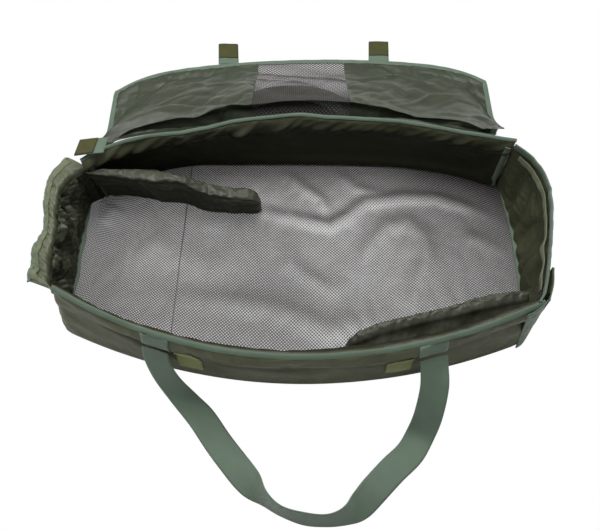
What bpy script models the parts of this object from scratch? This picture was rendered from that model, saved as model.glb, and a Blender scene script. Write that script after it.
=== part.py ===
"""Soft carp cradle, laid open: a mesh floor between two foam walls, end walls, end fins, a thrown-back lid and
two carrying handles. X runs along the cradle, Y from the front wall to the back wall, Z up. The origin is the
middle of the floor's underside."""
import math

import bmesh
import bpy
from mathutils import Vector

COLLECTION = "carp_cradle"

# Main sizes, in metres.
HALF_LENGTH = 0.436
HALF_WIDTH = 0.265
WALL_HEIGHT = 0.146
WALL_THICKNESS = 0.022
RIM_HEIGHT = 0.152
WEBBING = 0.050
WEBBING_THICKNESS = 0.0016
WEBBING_LIFT = 0.0010
BINDING = 0.011
BINDING_THICKNESS = 0.0035
END_BINDING_THICKNESS = 0.0030
LOOP_THICKNESS = 0.0014
HOOK_THICKNESS = 0.0020
HOOK_INSET = 0.0010
CLOTH = 0.0015
GAP = 0.0006
MERGE = 0.000001

# Half widths of the rim and of the foot of each long wall where it meets the ends.
FRONT_RIM_LEFT, FRONT_RIM_RIGHT = 0.141, 0.158
BACK_RIM_LEFT, BACK_RIM_RIGHT = 0.133, 0.192
FRONT_FOOT_LEFT, FRONT_FOOT_RIGHT = 0.171, 0.182
BACK_FOOT_LEFT, BACK_FOOT_RIGHT = 0.155, 0.204
FRONT_FOOT_MIDDLE = 0.272
FRONT_FOOT_REACH, BACK_FOOT_REACH = 1.05, 1.01
BACK_FOOT_POWER = 4
SECTION_POWER = 0.38
STATIONS = 24
WALL_SIDES = 14
COVER_CLOTH = 0.0012
FOAM_INSET = 0.0032

# Floor: its two bowed ends, its thickness, and how far it stays clear of each wall's inner face.
FLOOR_LEFT, FLOOR_RIGHT = -0.448, 0.436
FLOOR_BOW = 0.010
FLOOR_THICKNESS = 0.002
FLOOR_CLEARANCE = 0.002
FLOOR_BINDING = 0.010
FLOOR_BINDING_REST = 0.0008

# Lid, measured along Y on the ground and along the hinge line.
LID_HALF_HINGE = 0.385
LID_HALF_FAR = 0.4445
LID_SHIFT = -0.006
LID_FAR = 0.557
LID_FAR_HEIGHT = 0.004
LID_FAR_BOW, LID_FAR_ROUND, LID_FAR_SKEW = 0.045, 0.040, 0.035
LID_WIDENING = 0.34
LID_WINDOW_HALF = 0.105
LID_CLEARANCE = 0.0085
LID_VALLEY_DROP, LID_VALLEY_END = 0.092, 0.004
LID_RIDGE_DROP = 0.032
LID_RIDGE_REACH, LID_RIDGE_END = 0.042, 0.004
LID_SEAM_REACH = 0.0040
LID_TURN_HEIGHT, LID_TURN_REACH, LID_TURN_DROP = 0.140, 0.0075, 0.0010
LID_SIDE_FALL = 0.64
LID_HUMP = 0.012
LID_HINGE_Y, LID_HINGE_Z = 0.170, 0.162
LID_BINDING, LID_BINDING_START = 0.0060, 0.0016
TAB_SPACING = 0.372
TAB_LENGTH = 0.062
TAB_GAP = 0.0090
TAB_HOOK_START = 0.014
TAB_HEIGHT, TAB_HOOK_HEIGHT = 0.0030, 0.0056
HINGE_GAP = 0.0005

# End walls: soft cloth flaps hinged at the ends of the floor.
LEFT_END_X, RIGHT_END_X = -0.4590, 0.4480
LEFT_END_BOW, RIGHT_END_BOW = 0.005, 0.010
END_HINGE_Z = 0.004

# Section of the left end wall: distance up the cloth from the floor, then how far out and how high it lies there.
LEFT_END_PROFILE = ((0.0, 0.000, 0.004), (0.052, -0.002, 0.056), (0.100, -0.003, 0.104), (0.118, -0.006, 0.121),
                    (0.132, -0.018, 0.121), (0.152, -0.036, 0.110))
LEFT_END_STEPS = (0.0, 0.026, 0.052, 0.076, 0.100, 0.118, 0.132, 0.152)
LEFT_END_CLOTH = LEFT_END_STEPS[-1]
LEFT_END_BACK_FOOT, LEFT_END_BACK_RIM, LEFT_END_FRONT = 0.130, 0.170, -0.122
LEFT_LOOP_START, LEFT_LOOP_END = 0.134, 0.147
LEFT_BINDING_OUT, LEFT_BINDING_DOWN, LEFT_BINDING = 0.0030, 0.0065, 0.0090
LOOP_MARGIN = 0.03

# Right end wall: its rim in plan as (share of the way to the front, X), its bulge and its heights, and the webbing
# that wraps its front corner.
RIGHT_RIM = ((0.0, 0.430), (0.046, 0.446), (0.165, 0.471), (0.324, 0.482), (0.60, 0.4705), (0.79, 0.457),
             (0.93, 0.445), (1.0, 0.437))
RIGHT_END_BULGE = 0.006
RIGHT_END_LOW, RIGHT_END_HIGH = 0.004, 0.148
RIGHT_CORNER_X, CORNER_CLEARANCE = 0.43, 0.003
RIGHT_BINDING = 0.0095
RIGHT_LOOP_LOW, RIGHT_LOOP_HIGH, RIGHT_LOOP_OFF = 0.80, 0.89, 0.0024
END_ROWS = 14
CORNER_STRIP_START, CORNER_STRIP_END = 0.392, 0.438
CORNER_STRIP_LOW, CORNER_STRIP_HIGH = 0.012, 0.145
CORNER_STRIP_LEAN, CORNER_STRIP_OFF, CORNER_STRIP_FLARE = 0.010, 0.004, 0.006

# End fins: tapered foam pads that hang from two opposite corners.
FIN_LENGTH = 0.350
FIN_HEIGHT = 0.126
LEFT_FIN_TIP_HEIGHT, RIGHT_FIN_TIP_HEIGHT = 0.050, 0.092
FIN_THICKNESS = 0.025
FIN_ROOT_SHARE, FIN_ROOT_LENGTH = 0.35, 0.12
FIN_LOW = 0.005
FIN_FALL_FROM = 0.50
FIN_ROUND_FROM, FIN_ROUND = 0.94, 0.075
FIN_STATIONS, FIN_SIDES = 14, 12
FIN_BOW_POWER = 0.8
FIN_TIP_INSET, FIN_EDGE_INSET = 9, 1.6
RIGHT_FIN_BOW = 0.003
LEFT_FIN_LEAN, RIGHT_FIN_LEAN = 0.030, 0.022
FIN_LEAN_ROOT, FIN_LEAN_LOST = 0.2, 0.65
LEFT_FIN_HINGE = (-0.428, 0.118)
RIGHT_FIN_HINGE = (0.424, -0.127)
LEFT_FIN_ANGLE, RIGHT_FIN_ANGLE = math.radians(-3.0), math.radians(196.0)

# Handles, their anchors, and the loop patches between them.
ANCHOR_X = 0.240
ANCHOR_LOW, ANCHOR_HIGH = 0.112, 0.144
ANCHOR_OFF = 0.0020
HANDLE_CLEARANCE = 0.0045
HANDLE_HINGE_Z = 0.116
FRONT_HANDLE_HINGE_Y = -0.257
BACK_HANDLE_HINGE_Y = 0.2570
PATCH_HALF = 0.0245
PATCH_LOW, PATCH_HIGH, PATCH_OFF = 0.046, 0.104, 0.0018

# The open corner tab droops a little towards the back; the closed one runs round the front corner.
OPEN_TAB_HEIGHT, OPEN_TAB_SLOPE = 0.1578, 0.22
OPEN_TAB_START, OPEN_TAB_END = -0.3960, -0.4430
OPEN_TAB_FRONT, OPEN_TAB_BACK, OPEN_TAB_SKEW = 0.1430, 0.1900, 0.007
OPEN_TAB_HINGE = (-0.3955, 0.165, OPEN_TAB_HEIGHT)
CLOSED_TAB_START, CLOSED_TAB_END = (0.4480, -0.1560), (0.4710, -0.0900)
CLOSED_TAB_LOW, CLOSED_TAB_HIGH = 0.100, 0.148
CORNER_HOOK_FROM = 0.22

# Bound seams up the back corners: the middle of each and the heights that they run between.
BACK_RIGHT_SEAM_X, BACK_LEFT_SEAM_X = 0.4200, -0.4300
SEAM_HALF, SEAM_OFF = 0.005, 0.0026
SEAM_LOW, SEAM_HIGH = 0.006, 0.140

OLIVE = (0.105, 0.115, 0.075)
TEAL = (0.135, 0.235, 0.175)
MESH_BROWN = (0.085, 0.075, 0.070)
LOOP_OLIVE = (0.300, 0.310, 0.170)
HOOK_OLIVE = (0.125, 0.125, 0.035)
FOAM_GREY = (0.350, 0.350, 0.340)


def lerp(a, b, t):
    return a + (b - a) * t


def side(x, left, right):
    return left if x < 0 else right


def material(name, colour, roughness):
    made = bpy.data.materials.get(name)
    if made:
        return made
    made = bpy.data.materials.new(name)
    made.use_nodes = True
    shader = made.node_tree.nodes["Principled BSDF"]
    shader.inputs["Base Color"].default_value = (*colour, 1.0)
    shader.inputs["Roughness"].default_value = roughness
    shader.inputs["Metallic"].default_value = 0.0
    return made


def finishes():
    return {
        "nylon": material("olive_nylon", OLIVE, 0.45),
        "webbing": material("teal_webbing", TEAL, 0.80),
        "mesh": material("brown_mesh", MESH_BROWN, 0.60),
        "loop": material("loop_tape", LOOP_OLIVE, 0.95),
        "hook": material("hook_tape", HOOK_OLIVE, 0.70),
        "foam": material("grey_foam", FOAM_GREY, 0.90),
    }


def new_object(name, bm, finish):
    mesh = bpy.data.meshes.new(name)
    bm.to_mesh(mesh)
    bm.free()
    mesh.materials.append(finish)
    made = bpy.data.objects.new(name, mesh)
    bpy.data.collections[COLLECTION].objects.link(made)
    return made


def place(made, origin):
    """Put the object's origin at a point, such as its hinge, and leave its mesh where it is."""
    for vertex in made.data.vertices:
        vertex.co.x -= origin[0]
        vertex.co.y -= origin[1]
        vertex.co.z -= origin[2]
    made.location = origin
    return made


def shaped_grid(columns, rows, shape):
    """An open grid whose point (u, v), both from 0 to 1, goes to shape(u, v)."""
    bm = bmesh.new()
    bmesh.ops.create_grid(bm, x_segments=columns, y_segments=rows, size=0.5)
    for vertex in bm.verts:
        vertex.co = shape(vertex.co.x + 0.5, vertex.co.y + 0.5)
    return bm


def sheet(name, finish, columns, rows, shape, thickness=CLOTH):
    """A cloth or tape: an open grid made solid."""
    made = new_object(name, shaped_grid(columns, rows, shape), finish)
    solid = made.modifiers.new("thickness", "SOLIDIFY")
    solid.thickness = thickness
    solid.offset = 0.0
    made.data.shade_smooth()
    return made


def box_ring(angle):
    """A rounded box section as a superellipse, each way from -1 to 1."""
    c, s = math.cos(angle), math.sin(angle)
    return math.copysign(abs(c) ** SECTION_POWER, c), math.copysign(abs(s) ** SECTION_POWER, s)


def wrapped_grid(columns, around, shape, close_start, close_end):
    """A tube along u whose section goes round with v; its ends can be closed."""
    bm = shaped_grid(columns, around, shape)
    bmesh.ops.remove_doubles(bm, verts=bm.verts, dist=MERGE)
    ends = [edge for edge in bm.edges if edge.is_boundary]
    start, finish = Vector(shape(0.0, 0.0)), Vector(shape(1.0, 0.0))
    for wanted, at_start in ((close_start, True), (close_end, False)):
        if not wanted:
            continue
        loop = []
        for edge in ends:
            middle = (edge.verts[0].co + edge.verts[1].co) / 2
            if ((middle - start).length < (middle - finish).length) == at_start:
                loop.append(edge)
        bmesh.ops.holes_fill(bm, edges=loop, sides=0)
    bmesh.ops.recalc_face_normals(bm, faces=bm.faces)
    return bm


def cover(name, finish, columns, around, shape, wall, close_end=False):
    """A sewn cover: a tube with a cloth wall, open where the foam goes in."""
    made = new_object(name, wrapped_grid(columns, around, shape, False, close_end), finish)
    solid = made.modifiers.new("cloth", "SOLIDIFY")
    solid.thickness = wall
    solid.offset = -1.0
    made.data.shade_smooth()
    return made


def core(name, finish, columns, around, shape):
    """A foam slab: the same tube, closed at both ends."""
    made = new_object(name, wrapped_grid(columns, around, shape, True, True), finish)
    made.data.shade_smooth()
    return made


def front_rim(x):
    corner = side(x, FRONT_RIM_LEFT, FRONT_RIM_RIGHT)
    return -(HALF_WIDTH - (HALF_WIDTH - corner) * (x / HALF_LENGTH) ** 2)


def back_rim(x):
    corner = side(x, BACK_RIM_LEFT, BACK_RIM_RIGHT)
    return HALF_WIDTH - (HALF_WIDTH - corner) * (x / HALF_LENGTH) ** 2


def front_foot(x):
    corner = side(x, FRONT_FOOT_LEFT, FRONT_FOOT_RIGHT)
    return -(FRONT_FOOT_MIDDLE - (FRONT_FOOT_MIDDLE - corner) * (x / HALF_LENGTH) ** 2)


def back_foot(x):
    corner = side(x, BACK_FOOT_LEFT, BACK_FOOT_RIGHT)
    return HALF_WIDTH - (HALF_WIDTH - corner) * (x / HALF_LENGTH) ** BACK_FOOT_POWER


def stretch(height, front):
    """How much further a long wall's left half reaches at its foot than at its rim."""
    return lerp(FRONT_FOOT_REACH if front else BACK_FOOT_REACH, 1.0, height / RIM_HEIGHT)


def wall_middle(x, height, front):
    """Y of the middle of a long wall's thickness at a height."""
    if x < 0:
        x /= stretch(height, front)
    x = max(-HALF_LENGTH, min(HALF_LENGTH, x))
    t = height / RIM_HEIGHT
    if front:
        return lerp(front_foot(x) + WALL_THICKNESS / 2, front_rim(x), t)
    return lerp(back_foot(x) - WALL_THICKNESS / 2, back_rim(x), t)


def wall_outer(x, height, front):
    """Y of a long wall's outer face."""
    out = -1.0 if front else 1.0
    return wall_middle(x, height, front) + out * WALL_THICKNESS / 2


def wall_shape(front, inset):
    def shape(u, v):
        across, up = box_ring(2 * math.pi * v)
        height = WALL_HEIGHT / 2 + up * (WALL_HEIGHT / 2 - inset)
        x = lerp(-HALF_LENGTH + inset, HALF_LENGTH - inset, u)
        if x < 0:
            x *= stretch(height, front)
        return x, wall_middle(x, height, front) + across * (WALL_THICKNESS / 2 - inset), height
    return shape


def build_long_wall(prefix, front, looks):
    cover(f"{prefix}_wall_cover", looks["nylon"], STATIONS, WALL_SIDES, wall_shape(front, 0.0), COVER_CLOTH)
    core(f"{prefix}_wall_foam", looks["foam"], STATIONS, WALL_SIDES, wall_shape(front, FOAM_INSET))

    def binding(u, v):
        x = lerp(-HALF_LENGTH, HALF_LENGTH, u)
        y = front_rim(x) if front else back_rim(x)
        return x, y, WALL_HEIGHT + GAP + v * BINDING
    sheet(f"{prefix}_rim_binding", looks["webbing"], STATIONS, 1, binding, BINDING_THICKNESS)


def floor_end(t, left):
    """X of the floor's end at t from 0 at the front to 1 at the back."""
    bow = FLOOR_BOW * math.sin(math.pi * t)
    return FLOOR_LEFT - bow if left else FLOOR_RIGHT + bow


def build_floor(looks):
    margin = WALL_THICKNESS + FLOOR_CLEARANCE

    def floor(u, v):
        x = lerp(floor_end(v, True), floor_end(v, False), u)
        near = max(-HALF_LENGTH, min(HALF_LENGTH, x))
        return x, lerp(front_foot(near) + margin, back_foot(near) - margin, v), FLOOR_THICKNESS / 2
    sheet("floor_mesh", looks["mesh"], STATIONS, 4, floor, FLOOR_THICKNESS)

    for name, left in (("floor_binding_left", True), ("floor_binding_right", False)):
        inward = FLOOR_BINDING if left else -FLOOR_BINDING

        def binding(u, v):
            x, y, _ = floor(0.0 if left else 1.0, lerp(0.04, 0.96, v))
            return x + u * inward, y, FLOOR_THICKNESS + GAP + FLOOR_BINDING_REST
        sheet(name, looks["webbing"], 1, 8, binding, WEBBING_THICKNESS)


def left_end_point(s, distance):
    """The left end wall, slumped outwards: s along it from the back, distance up the cloth from the floor."""
    x, z = LEFT_END_PROFILE[-1][1:]
    for (d0, x0, z0), (d1, x1, z1) in zip(LEFT_END_PROFILE, LEFT_END_PROFILE[1:]):
        if distance <= d1:
            t = (distance - d0) / (d1 - d0)
            x, z = lerp(x0, x1, t), lerp(z0, z1, t)
            break
    bow = LEFT_END_BOW * math.sin(math.pi * s)
    back = lerp(LEFT_END_BACK_FOOT, LEFT_END_BACK_RIM, distance / LEFT_END_CLOTH)
    return LEFT_END_X - bow + x, lerp(back, LEFT_END_FRONT, s), z


def build_left_end(looks):
    axis_point = (LEFT_END_X - LEFT_END_BOW, 0.0, END_HINGE_Z)
    pieces = []
    last = len(LEFT_END_STEPS) - 1

    def panel(u, v):
        return left_end_point(v, LEFT_END_STEPS[round(u * last)])
    pieces.append(sheet("left_end_panel", looks["nylon"], last, 10, panel))

    def edge(u, v):
        x, y, z = left_end_point(v, LEFT_END_CLOTH)
        return x - LEFT_BINDING_OUT, y, z - LEFT_BINDING_DOWN + u * LEFT_BINDING
    pieces.append(sheet("left_end_binding", looks["webbing"], 1, 10, edge, END_BINDING_THICKNESS))

    def strip(u, v):
        x, y, z = left_end_point(lerp(LOOP_MARGIN, 1 - LOOP_MARGIN, v), lerp(LEFT_LOOP_START, LEFT_LOOP_END, u))
        return x - 0.0012, y, z + 0.0020
    pieces.append(sheet("left_end_loop_strip", looks["loop"], 1, 10, strip, LOOP_THICKNESS))
    for piece in pieces:
        place(piece, axis_point)


def right_end_rim(s):
    """X of the right end wall's rim, bowed out more towards the back."""
    for (s0, x0), (s1, x1) in zip(RIGHT_RIM, RIGHT_RIM[1:]):
        if s <= s1:
            return lerp(x0, x1, (s - s0) / (s1 - s0))
    return RIGHT_RIM[-1][1]


def right_end_point(s, t):
    """The right end wall: s along it from the back, t up it."""
    s = min(max(s, 0.0), 1.0)
    foot = RIGHT_END_X + RIGHT_END_BOW * math.sin(math.pi * s)
    x = lerp(foot, right_end_rim(s), t) + RIGHT_END_BULGE * math.sin(math.pi * t) * math.sin(math.pi * s)
    corner = RIGHT_CORNER_X
    back = lerp(back_foot(corner) - WALL_THICKNESS, back_rim(corner) - WALL_THICKNESS / 2, t)
    front = lerp(front_foot(corner) + WALL_THICKNESS, front_rim(corner) + WALL_THICKNESS / 2, t)
    y = lerp(back - CORNER_CLEARANCE, front + CORNER_CLEARANCE, s)
    return x, y, lerp(RIGHT_END_LOW, RIGHT_END_HIGH, t)


def right_end_off(s, t, inward):
    """A point off the right end wall by a distance across its plan."""
    x, y, z = right_end_point(s, t)
    x0, y0, _ = right_end_point(s - 0.01, t)
    x1, y1, _ = right_end_point(s + 0.01, t)
    length = math.hypot(x1 - x0, y1 - y0)
    return x + inward * (y1 - y0) / length, y - inward * (x1 - x0) / length, z


def build_right_end(looks):
    axis_point = (RIGHT_END_X + RIGHT_END_BOW, 0.0, END_HINGE_Z)
    pieces = [sheet("right_end_panel", looks["nylon"], 6, END_ROWS, lambda u, v: right_end_point(v, u))]

    def rim(u, v):
        x, y, z = right_end_point(v, 1.0)
        return x, y, z + GAP + u * RIGHT_BINDING
    pieces.append(sheet("right_end_binding", looks["webbing"], 1, END_ROWS, rim, END_BINDING_THICKNESS))

    def strip(u, v):
        along = lerp(1 / END_ROWS, 1 - 1 / END_ROWS, v)
        return right_end_off(along, lerp(RIGHT_LOOP_LOW, RIGHT_LOOP_HIGH, u), RIGHT_LOOP_OFF)
    pieces.append(sheet("right_end_loop_strip", looks["loop"], 1, END_ROWS - 2, strip, LOOP_THICKNESS))

    def wrap(u, v):
        x = lerp(CORNER_STRIP_START, CORNER_STRIP_END, u)
        height = lerp(CORNER_STRIP_LOW, CORNER_STRIP_HIGH, v)
        lean = CORNER_STRIP_LEAN * (1.0 - v)
        return x - lean, wall_outer(x, height, True) - CORNER_STRIP_OFF - CORNER_STRIP_FLARE * u, height
    pieces.append(sheet("right_corner_strip", looks["webbing"], 4, 4, wrap, WEBBING_THICKNESS))
    for piece in pieces:
        place(piece, axis_point)


def fin_fall(t):
    fall = max(0.0, (t - FIN_FALL_FROM) / (1.0 - FIN_FALL_FROM))
    return fall * fall * (3 - 2 * fall)


def fin_height(t, tip):
    """Top of a fin: level, then falling to a rounded tip."""
    top = lerp(FIN_HEIGHT, tip, fin_fall(t))
    return top * math.sqrt(max(0.0, 1.0 - max(0.0, (t - FIN_ROUND_FROM) / FIN_ROUND) ** 2))


def fin_shape(hinge, angle, tip, lean, bow, inset):
    """A fin whose foot stands further from the cradle's middle line than its top by the lean."""
    direction = (math.cos(angle), math.sin(angle))

    def shape(u, v):
        across, up = box_ring(2 * math.pi * v)
        along = lerp(inset, FIN_LENGTH - FIN_TIP_INSET * inset, u)
        t = along / FIN_LENGTH
        top = fin_height(t, tip)
        height = (FIN_LOW + top) / 2 + up * ((top - FIN_LOW) / 2 - FIN_EDGE_INSET * inset)
        half = FIN_THICKNESS / 2 * lerp(FIN_ROOT_SHARE, 1.0, min(1.0, t / FIN_ROOT_LENGTH)) - inset
        leaning = lean * min(1.0, t / FIN_LEAN_ROOT) * (1.0 - FIN_LEAN_LOST * fin_fall(t))
        out = across * half + leaning * (1.0 - height / FIN_HEIGHT) - bow * math.sin(math.pi * t) ** FIN_BOW_POWER
        return (hinge[0] + along * direction[0] - out * direction[1],
                hinge[1] + along * direction[1] + out * direction[0], height)
    return shape


def build_fin(prefix, hinge, angle, tip, lean, bow, looks):
    skin, filling = (fin_shape(hinge, angle, tip, lean, bow, inset) for inset in (0.0, FOAM_INSET))
    pieces = [
        cover(f"{prefix}_fin_cover", looks["nylon"], FIN_STATIONS, FIN_SIDES, skin, COVER_CLOTH, True),
        core(f"{prefix}_fin_foam", looks["foam"], FIN_STATIONS, FIN_SIDES, filling),
    ]
    for piece in pieces:
        place(piece, (hinge[0], hinge[1], 0.0))


def lid_far(x):
    k = x / LID_HALF_FAR
    return LID_FAR - LID_FAR_BOW * k ** 2 - LID_FAR_ROUND * k ** 8 + LID_FAR_SKEW * x


# Rows of the lid from its seam outwards. Below 1 they lie round the fold behind the rim; from 1 to 2 they run
# from the ridge to the far edge.
LID_ROWS = (0.0, 0.2, 0.4, 0.6, 0.8, 1.0, 1.08, 1.17, 1.26, 1.36, 1.50, 1.66, 1.83, 2.0)


def lid_half(row):
    return lerp(LID_HALF_HINGE, LID_HALF_FAR, max(0.0, min(1.0, (row - 1.0) / LID_WIDENING)))


def lid_point(across, row):
    """A point of the lid: across is -1 at its left edge and 1 at its right edge."""
    fold = 1.0 - across * across
    rim_x = across * LID_HALF_HINGE
    valley_z = RIM_HEIGHT - LID_VALLEY_END - LID_VALLEY_DROP * fold
    valley_y = wall_outer(rim_x, valley_z, False) + LID_CLEARANCE
    ridge = (valley_y + LID_RIDGE_END + LID_RIDGE_REACH * fold, RIM_HEIGHT - LID_RIDGE_DROP * fold)
    x = across * lid_half(row) + LID_SHIFT * max(0.0, row - 1.0)
    if row <= 1.0:
        turn_y = wall_outer(rim_x, LID_TURN_HEIGHT, False) + LID_TURN_REACH
        path = ((0.0, back_rim(rim_x) + LID_SEAM_REACH, RIM_HEIGHT), (0.2, turn_y, RIM_HEIGHT - LID_TURN_DROP),
                (0.6, valley_y, valley_z), (1.0, *ridge))
        for (t0, y0, z0), (t1, y1, z1) in zip(path, path[1:]):
            if row <= t1 + 0.001:
                t = (row - t0) / (t1 - t0)
                return x, lerp(y0, y1, t), lerp(z0, z1, t)
    t = row - 1.0
    ground = 1.0 - LID_SIDE_FALL * across ** 4
    drop = max(0.0, 1.0 - t / ground)
    hump = LID_HUMP * math.sin(math.pi * t) * fold
    return x, lerp(ridge[0], lid_far(x), t), LID_FAR_HEIGHT + (ridge[1] - LID_FAR_HEIGHT) * drop + hump


def panel_across(share, part, row):
    """Where a point of one of the lid's three panels lies across the lid."""
    window = LID_WINDOW_HALF / lid_half(row)
    slit = GAP / lid_half(row)
    if part == "left":
        return lerp(-1.0, -window - slit, share)
    if part == "right":
        return lerp(window + slit, 1.0, share)
    return lerp(-window, window, share)


def build_lid(looks):
    axis_point = (0.0, LID_HINGE_Y, LID_HINGE_Z)
    last = len(LID_ROWS) - 1
    pieces = []
    for name, part, columns, finish in (("lid_left_panel", "left", 10, "nylon"), ("lid_window", "middle", 6, "mesh"),
                                        ("lid_right_panel", "right", 10, "nylon")):
        def panel(u, v):
            row = LID_ROWS[round(v * last)]
            return lid_point(panel_across(u, part, row), row)
        pieces.append(sheet(name, looks[finish], columns, last, panel))

    side_rows = [row for row in LID_ROWS if row >= 1.0]
    far_places = [panel_across(i / 10, "left", 2.0) for i in range(1, 11)]
    far_places += [panel_across(i / 6, "middle", 2.0) for i in range(1, 7)]
    far_places += [panel_across(i / 10, "right", 2.0) for i in range(1, 10)]
    run = [(-1.0, row) for row in side_rows] + [(k, 2.0) for k in far_places] + [(1.0, row) for row in side_rows[::-1]]

    def binding(u, v):
        across, row = run[round(v * (len(run) - 1))]
        x, y, z = lid_point(across, row)
        reach = LID_BINDING_START + u * LID_BINDING
        sideways = math.copysign(reach, x) if abs(across) == 1.0 else 0.0
        return x + sideways, y + (reach if row == 2.0 else 0.0), z
    pieces.append(sheet("lid_binding", looks["webbing"], 1, len(run) - 1, binding, END_BINDING_THICKNESS))
    for piece in pieces:
        place(piece, axis_point)

    for name, sign in (("lid_tab_left", -1), ("lid_tab_right", 1)):
        middle = sign * TAB_SPACING / 2
        start = max(lid_far(middle - WEBBING / 2), lid_far(middle + WEBBING / 2)) + TAB_GAP
        hinge = (middle, start - HINGE_GAP, LID_FAR_HEIGHT)

        def strap(u, v):
            return middle + lerp(-WEBBING / 2, WEBBING / 2, u), start + v * TAB_LENGTH, TAB_HEIGHT

        def hook(u, v):
            half = WEBBING / 2 - HOOK_INSET
            return middle + lerp(-half, half, u), start + lerp(TAB_HOOK_START, TAB_LENGTH, v), TAB_HOOK_HEIGHT
        place(sheet(f"{name}_strap", looks["webbing"], 1, 2, strap, WEBBING_THICKNESS), hinge)
        place(sheet(f"{name}_hook", looks["hook"], 1, 2, hook, HOOK_THICKNESS), hinge)


def build_wall_tapes(looks):
    """Webbing anchors of both handles and the two loop patches that the lid tabs close on."""
    for prefix, front in (("front", True), ("back", False)):
        out = -1.0 if front else 1.0
        for end, sign in (("left", -1), ("right", 1)):
            def anchor(u, v):
                x = sign * ANCHOR_X + lerp(-WEBBING / 2, WEBBING / 2, u)
                z = lerp(ANCHOR_LOW, ANCHOR_HIGH, v)
                return x, wall_outer(x, z, front) + out * ANCHOR_OFF, z
            sheet(f"{prefix}_anchor_{end}", looks["webbing"], 3, 1, anchor, WEBBING_THICKNESS)
    for end, sign in (("left", -1), ("right", 1)):
        def patch(u, v):
            x = sign * TAB_SPACING / 2 + lerp(-PATCH_HALF, PATCH_HALF, u)
            z = lerp(PATCH_LOW, PATCH_HIGH, v)
            return x, wall_outer(x, z, True) - PATCH_OFF, z
        sheet(f"front_loop_patch_{end}", looks["loop"], 3, 2, patch, LOOP_THICKNESS)


# Route of each handle's middle line, chosen by hand: x, y, z, then the plan angle of its width and how far it
# stands on edge, both in degrees.
FRONT_ROUTE = (
    (-0.243, -0.2470, 0.1160, -16, 0), (-0.241, -0.2580, 0.0850, -12, 0), (-0.228, -0.2740, 0.0440, -2, 0),
    (-0.203, -0.2980, 0.0060, 14, 0), (-0.170, -0.3360, 0.0022, 32, 0), (-0.134, -0.3820, 0.0020, 38, 0),
    (-0.102, -0.4190, 0.0024, 42, 3), (-0.074, -0.4500, 0.0100, 48, 24), (-0.048, -0.4760, 0.0235, 58, 66),
    (-0.018, -0.4970, 0.0255, 72, 78), (0.022, -0.5090, 0.0250, 84, 74), (0.062, -0.5110, 0.0250, 96, 74),
    (0.094, -0.5020, 0.0220, 112, 60), (0.118, -0.4840, 0.0130, 122, 28), (0.144, -0.4560, 0.0040, 129, 6),
    (0.176, -0.4230, 0.0022, 133, 0), (0.208, -0.3930, 0.0022, 142, 0), (0.228, -0.3600, 0.0040, 156, 0),
    (0.237, -0.3240, 0.0220, 168, 0), (0.245, -0.2860, 0.0600, 180, 0), (0.244, -0.2640, 0.0930, 192, 0),
    (0.242, -0.2540, 0.1160, 196, 0),
)
BACK_ROUTE = (
    (-0.240, 0.2300, 0.1130, -161, 0), (-0.239, 0.2400, 0.0820, -161, 0), (-0.236, 0.2550, 0.0480, -165, 0),
    (-0.232, 0.2760, 0.0180, -175, 0), (-0.222, 0.3030, 0.0030, 170, 0), (-0.198, 0.3450, 0.0020, 155, 0),
    (-0.166, 0.3900, 0.0020, 140, 0), (-0.126, 0.4280, 0.0020, 125, 0), (-0.076, 0.4500, 0.0020, 104, 0),
    (-0.020, 0.4560, 0.0020, 92, 0), (0.036, 0.4480, 0.0020, 72, 0), (0.086, 0.4220, 0.0020, 56, 0),
    (0.132, 0.3860, 0.0020, 44, 0), (0.174, 0.3440, 0.0020, 34, 0), (0.208, 0.3050, 0.0030, 18, 0),
    (0.226, 0.2820, 0.0180, 6, 0), (0.234, 0.2650, 0.0480, -4, 0), (0.238, 0.2500, 0.0820, -10, 0),
    (0.240, 0.2400, 0.1130, -12, 0),
)


def smooth_route(route, t):
    """A point of the smooth curve through the route's own points."""
    place_on = t * (len(route) - 1)
    i = min(int(place_on), len(route) - 2)
    t = place_on - i
    before = route[max(i - 1, 0)]
    a, b = route[i], route[i + 1]
    after = route[min(i + 2, len(route) - 1)]
    return [0.5 * (2 * q + (r - p) * t + (2 * p - 5 * q + 4 * r - s) * t * t + (3 * q - p - 3 * r + s) * t ** 3)
            for p, q, r, s in zip(before, a, b, after)]


def build_handle(name, route, hinge_y, front, looks):
    def strap(u, v):
        x, y, z, plan, edge = smooth_route(route, v)
        plan, edge = math.radians(plan), math.radians(edge)
        reach = (u - 0.5) * WEBBING
        x += reach * math.cos(edge) * math.cos(plan)
        y += reach * math.cos(edge) * math.sin(plan)
        z += reach * math.sin(edge)
        clear = wall_outer(x, z, front) + (-HANDLE_CLEARANCE if front else HANDLE_CLEARANCE)
        return x, min(y, clear) if front else max(y, clear), max(z, WEBBING_LIFT)
    handle = sheet(name, looks["webbing"], 1, 3 * (len(route) - 1), strap, WEBBING_THICKNESS)
    place(handle, (0.0, hinge_y, HANDLE_HINGE_Z))


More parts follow.
